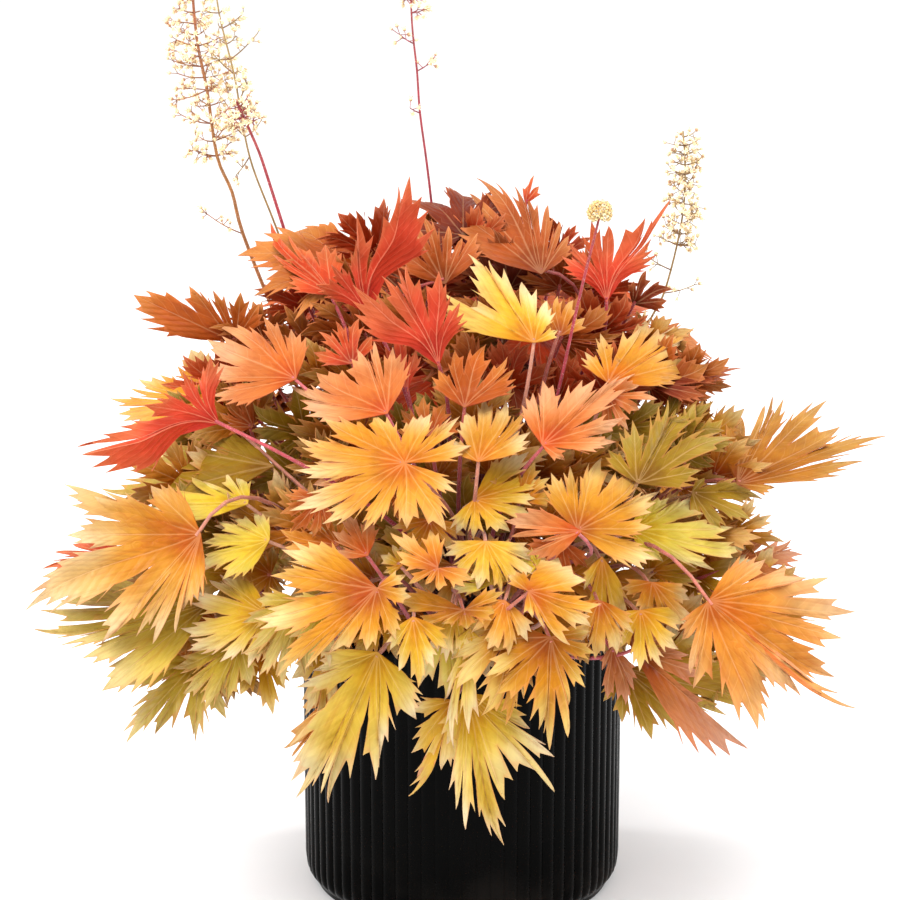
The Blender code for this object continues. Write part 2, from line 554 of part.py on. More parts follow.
def share_nodes(leaves):
    """Joins neighbouring leaves in leafy shoots until they fit the number of nodes."""
    shoots = [[leaf] for leaf in leaves]

    def apart(one, other):
        if len(one) + len(other) > LEAVES_A_NODE:
            return math.inf
        turn = min(outward_direction(a.base).angle(outward_direction(b.base)) for a in one for b in other)
        far = min((a.base - b.base).length for a in one for b in other)
        unlike = one[0].tone != other[0].tone
        return turn + far / (300 * MM) + 0.3 * unlike + 0.1 * (len(one) + len(other))

    while len(shoots) > LEAF_NODES:
        pairs = [(apart(shoots[i], shoots[j]), i, j) for i in range(len(shoots)) for j in range(i)]
        _, i, j = min(pairs)
        shoots[j] += shoots.pop(i)
    for shoot in shoots:
        for leaf in shoot:
            leaf.node = shoot[0].name
    return shoots


def spread_feet(wanted):
    """Directions from the crown's middle, each near the wanted one and apart from the others."""
    feet = [spot.copy() for spot in wanted]
    apart = FOOT_SPACING / CROWN_RADIUS
    for _ in range(200):
        for i, one in enumerate(feet):
            for other in feet[i + 1:]:
                gap = one - other
                if gap.length < apart:
                    push = (gap.normalized() if gap.length > 1e-9 else UP) * (apart - gap.length) / 2
                    one += push
                    other -= push
        for foot, goal in zip(feet, wanted):
            foot += (goal - foot) * 0.015
            foot.z = max(0.26, foot.z)
            foot.normalize()
    return feet


def stalk_routes(leaf, foot_direction):
    """Possible routes for a stalk from the crown to the blade, the plainest first."""
    foot = CROWN_CENTRE + foot_direction * (CROWN_RADIUS + FOOT_GAP)
    end = leaf.point(leaf.middle(), 3 * MM)
    start = leaf.point(0, 0)
    inward = (leaf.point(leaf.middle(), 0) - leaf.point(leaf.middle(), leaf.length * 0.4)).normalized()
    away = start - foot
    span = away.length
    arrive = (inward - away.normalized() * 0.9 - Vector((0, 0, 0.25))).normalized()
    if leaf.via:
        arrive = (unproject(*leaf.via, start.dot(TOWARD) - 9 * MM) - start).normalized()
    across = Vector((0, 0, 1)).cross(away)
    across = across.normalized() if across.length > 1e-6 else Vector((1, 0, 0))
    rim_rise = Vector((0, 0, 1)) * max(0.0, (POT_HEIGHT + 30 * MM - start.z)) * 0.9
    for sway in (0, 0.12, -0.12, 0.24, -0.24, 0.38, -0.38):
        for lift in (0.0, 0.12, -0.1, 0.25):
            for late in (0.30, 0.45, 0.18):
                near_foot = foot + foot_direction * span * 0.36 + across * span * sway * 0.6 + rim_rise
                near_blade = start + arrive * span * late + across * span * sway + rim_rise * 0.5
                near_blade += Vector((0, 0, 1)) * span * lift
                yield bezier(foot, near_foot, near_blade, end, STALK_STEPS)


def clears_pot(route):
    """True where a route stays over the rim and above the soil."""
    outside = POT_DIAMETER / 2
    for one, other in zip(route, route[1:]):
        for share in (0, 0.2, 0.4, 0.6, 0.8, 1):
            spot = one.lerp(other, share)
            out = math.hypot(spot.x, spot.y)
            over_wall = outside - POT_WALL - 5 * MM < out < outside + 3.5 * MM
            if over_wall and spot.z < POT_HEIGHT + 3 * MM:
                return False
            above_soil = 3.5 * MM if out > CROWN_RADIUS + 12 * MM else 1.5 * MM
            if CROWN_RADIUS * 0.8 < out < outside and spot.z < SOIL_LEVEL + above_soil:
                return False
    return True


def blade_clears_pot(points):
    """True where a blade keeps off the pot's wall and rim."""
    reach = POT_DIAMETER / 2 + 3 * MM
    return not any(math.hypot(spot.x, spot.y) < reach and spot.z < POT_HEIGHT + 3 * MM for spot in points)


def place_leaf(leaf, foot, space):
    """Finds a clear place and a clear stalk for one leaf, and returns what it still meets."""
    outward = leaf.bend if leaf.filler else TOWARD
    best = None
    for tries in range(FILLER_TRIES if leaf.filler else PUSH_TRIES):
        sign = -1 if leaf.filler and tries % 2 else 1
        leaf.move = outward * (sign * tries * PUSH_STEP)
        points, faces = blade_surface(leaf)
        if not blade_clears_pot(points):
            continue
        blade_hits = space.hits(leaf.node, "blade", *slab(points, faces, BLADE_THICKNESS + CLEAR_GAP))
        if blade_hits and best:
            continue
        for route in stalk_routes(leaf, foot):
            if not clears_pot(route):
                continue
            hits = blade_hits | space.hits(leaf.node, "stalk", *tube(route, STALK_RADIUS + CLEAR_GAP))
            if best is None or len(hits) < len(best[2]):
                best = (leaf.move.copy(), route, hits)
            if not hits:
                break
        if best and not best[2]:
            break
    return best


def settle(leaves, feet, space):
    """Gives each leaf a clear place and stalk, from the back to the front. Leaves made by rule give way."""
    placed, fillers = {}, {leaf.name for leaf in leaves if leaf.filler}
    for leaf in leaves:
        best = place_leaf(leaf, feet[leaf.node], space)
        if best is None or (best[2] and (leaf.filler or not best[2] <= fillers)):
            continue
        leaf.move, leaf.route, hits = best
        space.remove(hits)
        for name in hits:
            del placed[name]
        space.add(leaf.name, leaf.node, "blade", *slab(*blade_surface(leaf), BLADE_THICKNESS + CLEAR_GAP))
        space.add(leaf.name, leaf.node, "stalk", *tube(leaf.route, STALK_RADIUS + CLEAR_GAP))
        placed[leaf.name] = leaf
    return list(placed.values())


def stem_route(row, foot, shift):
    """A flower stem's points, from the crown through the foliage and along the photographed route."""
    near = row["near"] * MM + shift
    seen = [from_picture(px, py, near) for px, py in row["route"]]
    start = CROWN_CENTRE + foot * (CROWN_RADIUS + FOOT_GAP)
    span = (seen[0] - start).length
    out = start + foot * span * 0.4
    into = seen[0] - (seen[1] - seen[0]).normalized() * span * 0.35
    return bezier(start, out, into, seen[0], 5) + seen[1:]


def settle_stems(feet, space):
    """Routes every flower stem clear of what stands already."""
    routes = {}
    for row in STEMS:
        for shift in (0, -9, 9, -18, 18, -27, 27, -36, 36):
            route = stem_route(row, feet[row["name"]], shift * MM)
            if not space.hits(row["name"], "stalk", *tube(route, row["radius"] * MM + CLEAR_GAP)):
                break
        routes[row["name"]] = route
        space.add(row["name"], row["name"], "stalk", *tube(route, row["radius"] * MM + CLEAR_GAP))
        low = from_picture(row["route"][-1][0], row["flowers"][0], -route[-1].y)
        head = [low] + [spot for spot in route if spot.z > low.z]
        space.add(row["name"], row["name"], "head", *tube(head, row["reach"] * METRES_A_PIXEL))
    return routes


def grown_plant():
    """All leaves in their nodes and all stem routes, each clear of the others."""
    photographed = [photographed_leaf(row, 7 * k + 3) for k, row in enumerate(LEAVES)]
    photographed.sort(key=lambda leaf: leaf.base.dot(TOWARD))
    leaves = ruled_leaves() + photographed
    shoots = share_nodes(leaves)
    names = [row["name"] for row in STEMS] + [shoot[0].name for shoot in shoots]
    wanted = [outward_direction(from_picture(*row["route"][0], row["near"] * MM)) for row in STEMS]
    for shoot in shoots:
        wanted.append(sum((outward_direction(leaf.base) for leaf in shoot), Vector()).normalized())
    feet = dict(zip(names, spread_feet(wanted)))
    space = Space()
    routes = settle_stems(feet, space)
    return settle(leaves, feet, space), routes


def wall_radius(z):
    """The pot's inner radius at a height."""
    share = (z - POT_FLOOR) / (POT_HEIGHT - POT_FLOOR)
    return POT_DIAMETER / 2 - POT_WALL - POT_TAPER * (1 - share)


def material(name, colour, roughness, metallic=0.0):
    """A Principled material of one colour."""
    made = bpy.data.materials.new(name)
    made.use_nodes = True
    shader = made.node_tree.nodes["Principled BSDF"]
    shader.inputs["Base Color"].default_value = (*colour, 1)
    shader.inputs["Roughness"].default_value = roughness
    shader.inputs["Metallic"].default_value = metallic
    made.diffuse_color = (*colour, 1)
    return made


def new_collection(name):
    made = bpy.data.collections.new(name)
    bpy.context.scene.collection.children.link(made)
    return made


def new_object(name, mesh, collection):
    made = bpy.data.objects.new(name, mesh)
    collection.objects.link(made)
    return made


def mesh_from(name, points, faces):
    mesh = bpy.data.meshes.new(name)
    mesh.from_pydata([tuple(point) for point in points], [], faces)
    return mesh


def evaluated(source, weld=None):
    """The mesh of an object with its modifiers applied, welded at a distance; the object is removed."""
    depsgraph = bpy.context.evaluated_depsgraph_get()
    mesh = bpy.data.meshes.new_from_object(source.evaluated_get(depsgraph), depsgraph=depsgraph)
    bpy.data.objects.remove(source)
    if weld:
        shape = bmesh.new()
        shape.from_mesh(mesh)
        bmesh.ops.remove_doubles(shape, verts=shape.verts, dist=weld)
        bmesh.ops.recalc_face_normals(shape, faces=shape.faces)
        shape.to_mesh(mesh)
        shape.free()
    return mesh


def turned(name, profile, steps, collection):
    """A solid turned about the Z axis from a profile of (radius, height) points, bottom middle first."""
    points = [(radius, 0, z) for radius, z in profile]
    mesh = bpy.data.meshes.new(name)
    mesh.from_pydata(points, [(k, k + 1) for k in range(len(points) - 1)], [])
    source = new_object(name, mesh, collection)
    screw = source.modifiers.new("Turn", "SCREW")
    screw.axis = "Z"
    screw.angle = math.tau
    screw.steps = screw.render_steps = steps
    screw.use_merge_vertices = True
    screw.merge_threshold = WELD
    return evaluated(source, weld=WELD)


def make_pot(collection, work):
    """The ribbed pot: a turned body with every second column of its wall drawn in, then hollowed."""
    outside = POT_DIAMETER / 2
    rib_foot = 17 * MM
    profile = [(0, 0), (outside - 8 * MM, 0), (outside - 2 * MM, 9 * MM), (outside - 0.5 * MM, rib_foot),
               (outside, POT_HEIGHT), (0, POT_HEIGHT)]
    body = turned("pot", profile, RIB_COUNT * 2, work)
    for vertex in body.vertices:
        out = math.hypot(vertex.co.x, vertex.co.y)
        column = round(math.atan2(vertex.co.y, vertex.co.x) / math.tau * RIB_COUNT * 2)
        if column % 2 and vertex.co.z > rib_foot - MM and out > outside - MM:
            vertex.co.x *= (out - RIB_DEPTH) / out
            vertex.co.y *= (out - RIB_DEPTH) / out
    above = POT_HEIGHT + 5 * MM
    hollow = turned("pot_hollow", [(0, POT_FLOOR), (wall_radius(POT_FLOOR), POT_FLOOR),
                                   (wall_radius(above), above), (0, above)],
                    HOLLOW_SIDES, work)
    cutter = new_object("pot_hollow", hollow, work)
    source = new_object("pot_body", body, work)
    cut = source.modifiers.new("Hollow", "BOOLEAN")
    cut.operation = "DIFFERENCE"
    cut.object = cutter
    mesh = evaluated(source)
    bpy.data.objects.remove(cutter)
    mesh.materials.clear()
    mesh.materials.append(material("pot_plastic", (0.012, 0.012, 0.013), 0.38))
    new_object("pot", mesh, collection)


def make_soil(collection, work):
    """The potting mix, with a plain hole that the crown stands in and a gently uneven top."""
    low, top = POT_FLOOR + FIT_GAP, SOIL_LEVEL - 0.5 * MM
    hole = CROWN_STUMP_RADIUS + FIT_GAP
    hole_floor = SOIL_LEVEL - CROWN_STUMP_DEPTH - FIT_GAP
    profile = [(0, low), (wall_radius(low) - FIT_GAP, low), (wall_radius(top) - FIT_GAP, top),
               (52 * MM, top), (hole, top), (hole, hole_floor), (0, hole_floor)]
    mesh = turned("potting_soil", profile, HOLLOW_SIDES, work)
    for vertex in mesh.vertices:
        x, y, z = vertex.co
        if z > top - MM:
            uneven = math.sin(x * 70) * math.cos(y * 90) + math.sin((x + y) * 160)
            vertex.co.z -= 1.1 * MM * (1 + uneven / 2)
    new_object("potting_soil", mesh, collection)
    mesh.materials.append(material("potting_mix", (0.035, 0.022, 0.014), 0.95))


def make_crown(collection, work):
    """The woody rootstock: a dome over the soil on a stump in the soil's hole."""
    floor = SOIL_LEVEL - CROWN_STUMP_DEPTH
    brim = SOIL_LEVEL + FIT_GAP
    corner_radius = CROWN_RADIUS + FACET_ALLOWANCE
    start = math.asin((brim - CROWN_CENTRE.z) / corner_radius)
    profile = [(0, floor), (CROWN_STUMP_RADIUS, floor), (CROWN_STUMP_RADIUS, brim)]
    for k in range(CROWN_RINGS + 1):
        angle = start + (math.pi / 2 - start) * k / CROWN_RINGS
        profile.append((corner_radius * math.cos(angle), CROWN_CENTRE.z + corner_radius * math.sin(angle)))
    profile[-1] = (0, profile[-1][1])
    mesh = turned("crown", profile, CROWN_SIDES, work)
    new_object("crown", mesh, collection)
    mesh.materials.append(material("crown_bark", (0.10, 0.055, 0.035), 0.9))


def stalk_profile(work):
    """The three-sided outline that stalks and twigs are swept from."""
    curve = bpy.data.curves.new("stalk_outline", "CURVE")
    curve.dimensions = "2D"
    spline = curve.splines.new("POLY")
    spline.points.add(2)
    for k, point in enumerate(spline.points):
        angle = math.tau * k / 3
        point.co = (math.cos(angle), math.sin(angle), 0, 1)
    spline.use_cyclic_u = True
    made = bpy.data.objects.new("stalk_outline", curve)
    work.objects.link(made)
    return made


def swept(name, route, radii, outline_object, collection):
    """A stalk along a route with a radius at each point, as a curve with filled caps made a mesh."""
    curve = bpy.data.curves.new(name, "CURVE")
    curve.dimensions = "3D"
    curve.bevel_mode = "OBJECT"
    curve.bevel_object = outline_object
    curve.use_fill_caps = True
    spline = curve.splines.new("POLY")
    spline.points.add(len(route) - 1)
    for point, spot, radius in zip(spline.points, route, radii):
        point.co = (*spot, 1)
        point.radius = radius
    source = new_object(name, curve, collection)
    return new_object(name, evaluated(source, weld=WELD), collection)


def taper(start, end, count):
    """Radii that go evenly from one size to another."""
    return [start + (end - start) * k / (count - 1) for k in range(count)]


def blade_object(leaf, collection):
    """A leaf's blade: its surface made solid."""
    mesh = mesh_from(leaf.name, *blade_surface(leaf))
    source = new_object(leaf.name, mesh, collection)
    solidify = source.modifiers.new("Thickness", "SOLIDIFY")
    solidify.thickness = BLADE_THICKNESS
    solidify.offset = 0
    return new_object(leaf.name, evaluated(source), collection)


def joined(name, pieces, collection, tone_material):
    """One solid from overlapping pieces. The exact solver leaves open edges on some shoots, this one none."""
    base, rest = pieces[0], pieces[1:]
    union = base.modifiers.new("Join", "BOOLEAN")
    union.operation = "UNION"
    union.operand_type = "COLLECTION"
    union.solver = "MANIFOLD"
    cutters = new_collection(f"{name}_pieces")
    for piece in rest:
        cutters.objects.link(piece)
    union.collection = cutters
    mesh = evaluated(base, weld=WELD / 100)
    for piece in rest:
        bpy.data.objects.remove(piece)
    bpy.data.collections.remove(cutters)
    mesh.name = name
    new_object(name, mesh, collection)
    mesh.materials.clear()
    mesh.materials.append(tone_material)
    return mesh


def make_leaves(leaves, collection, work, outline_object):
    """Every leaf node: a leaf, or a leafy shoot of two or three that share a foot."""
    nodes = {}
    for leaf in leaves:
        nodes.setdefault(leaf.node, []).append(leaf)
    for name, shoot in nodes.items():
        pieces = []
        for leaf in shoot:
            pieces.append(blade_object(leaf, work))
            radii = taper(STALK_RADIUS, STALK_RADIUS * 0.8, len(leaf.route))
            pieces.append(swept(f"{leaf.name}_stalk", leaf.route, radii, outline_object, work))
        joined(name, pieces, collection, material(f"{name}_tone", TONES[shoot[0].tone], LEAF_ROUGHNESS))


def along(route, height):
    """The point of a rising route at a height, and its direction there."""
    for one, other in zip(route, route[1:]):
        if one.z <= height <= other.z:
            share = (height - one.z) / (other.z - one.z)
            return one.lerp(other, share), (other - one).normalized()
    return route[-1], (route[-1] - route[-2]).normalized()


def floret_places(row, route):
    """Where a stem's florets stand: (root on the stem, floret's place) by golden angle up the stem."""
    chance = random.Random(len(row["name"]) + row["florets"])
    near = -route[-1].y
    last_px = row["route"][-1][0]
    low = from_picture(last_px, row["flowers"][0], near).z
    high = min(route[-1].z, from_picture(last_px, row["flowers"][1], near).z)
    places = []
    for k in range(row["florets"]):
        share = (k + 0.5) / row["florets"]
        root, direction = along(route, low + (high - low) * share - 1.5 * MM)
        turn = k * 2.399963 + chance.uniform(-0.3, 0.3)
        side = direction.orthogonal().normalized()
        out = side * math.cos(turn) + direction.cross(side) * math.sin(turn)
        reach = row["reach"] * METRES_A_PIXEL * chance.uniform(0.62, 1.0) * (1.0 - 0.45 * share)
        places.append((root, root + out * reach + direction * reach * chance.uniform(0.3, 0.8)))
    return places


def make_stems(routes, collection, work, outline_object):
    """Every flower stem with its twigs and florets, fused in one node each."""
    for row in STEMS:
        route = routes[row["name"]]
        radius = row["radius"] * MM
        pieces = [swept(row["name"], route, taper(radius, radius * 0.6, len(route)), outline_object, work)]
        for root, spot in floret_places(row, route):
            floret = [root, root.lerp(spot, 0.7), spot]
            pieces.append(swept("floret", floret, FLORET_RADII, outline_object, work))
        joined(row["name"], pieces, collection, material(f"{row['name']}_tone", TONES[row["tone"]], 0.6))


def main():
    for old in list(bpy.data.objects):
        bpy.data.objects.remove(old)
    plant = new_collection("heuchera_in_pot")
    work = new_collection("cutters")
    make_pot(plant, work)
    make_soil(plant, work)
    make_crown(plant, work)
    leaves, routes = grown_plant()
    outline_object = stalk_profile(work)
    make_leaves(leaves, plant, work, outline_object)
    make_stems(routes, plant, work, outline_object)
    bpy.data.objects.remove(outline_object)


if __name__ == "__main__":
    main()
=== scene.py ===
"""The looks of the heuchera in its ribbed black pot: leaves, flowers, pot, soil and light."""

import math
import random

import bpy
import numpy as np
from mathutils import Matrix, Vector, geometry, noise


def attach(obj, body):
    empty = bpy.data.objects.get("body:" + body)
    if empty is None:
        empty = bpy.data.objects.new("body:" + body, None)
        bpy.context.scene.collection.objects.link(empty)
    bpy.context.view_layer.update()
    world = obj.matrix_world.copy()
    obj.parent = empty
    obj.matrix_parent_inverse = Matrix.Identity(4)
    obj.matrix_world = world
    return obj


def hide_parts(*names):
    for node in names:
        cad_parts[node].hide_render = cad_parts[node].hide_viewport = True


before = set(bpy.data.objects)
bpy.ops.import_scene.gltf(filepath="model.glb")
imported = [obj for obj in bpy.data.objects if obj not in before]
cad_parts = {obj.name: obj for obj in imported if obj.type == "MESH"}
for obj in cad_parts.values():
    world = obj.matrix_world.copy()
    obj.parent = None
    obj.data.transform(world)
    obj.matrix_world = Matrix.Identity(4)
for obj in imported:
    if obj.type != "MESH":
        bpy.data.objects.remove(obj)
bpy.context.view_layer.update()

MM = 0.001

# How the photograph sees the plant, in pixels of its 901 x 900 frame
PICTURE_WIDTH = 901
PICTURE_CENTRE_PX = (450.5, 450.0)
POT_AXIS_PX = 462.0
POT_FOOT_PY = 873.0
METRES_A_PIXEL = 0.607 * MM
VIEW_ELEVATION = math.radians(15)
VIEW_DISTANCE = 2.2
RIGHT = Vector((1, 0, 0))
UP = Vector((0, math.sin(VIEW_ELEVATION), math.cos(VIEW_ELEVATION)))
TOWARD = Vector((0, -math.cos(VIEW_ELEVATION), math.sin(VIEW_ELEVATION)))

# Pot, soil and crown, as in the frame
POT_DIAMETER = 190 * MM
POT_HEIGHT = 168 * MM
POT_WALL = 4.5 * MM
POT_FLOOR = 8 * MM
POT_TAPER = 4.5 * MM
RIB_COUNT = 72
RIB_DEPTH = 1.3 * MM
SOIL_LEVEL = 148 * MM
CROWN_RADIUS = 27 * MM
CROWN_CENTRE = Vector((0, 0, SOIL_LEVEL - 2 * MM))
FOOT_GAP = 0.4 * MM
LAYER_STEP = 11 * MM
PUSH_STEP = 3.5 * MM

# Blades and stalks
BLADE_THICKNESS = 0.5 * MM
POINT_SPACING = 3.2
FILLER_SPACING = 4.6
EDGE_STEP = 3.0 * MM
TOOTH_WIDTH = 3.3 * MM
STALK_RADII = (1.75 * MM, 0.95 * MM)
STALK_SIDES = 8
STALK_STEPS = 14
READ = ("along", "across", "edge", "reach", "under")

# A blade's relief as shares of its length or reach, and its noise as scale and height in millimetres
DROOP = (0.10, 0.20)
WAVE = (0.02, 0.045)
FOLD = 0.25
CURL = 0.8
CURL_FROM = 0.72
ROUGH = (26, 2.6)
FINE = (9, 1.6)

# How much a lobe may sway in its plane, hang, twist and differ in colour from the others
SWAY = (-0.16, 0.16)
HANG = (-0.32, 0.10)
TWIST = (-0.80, 0.80)
BLUSH = (-0.22, 0.26)

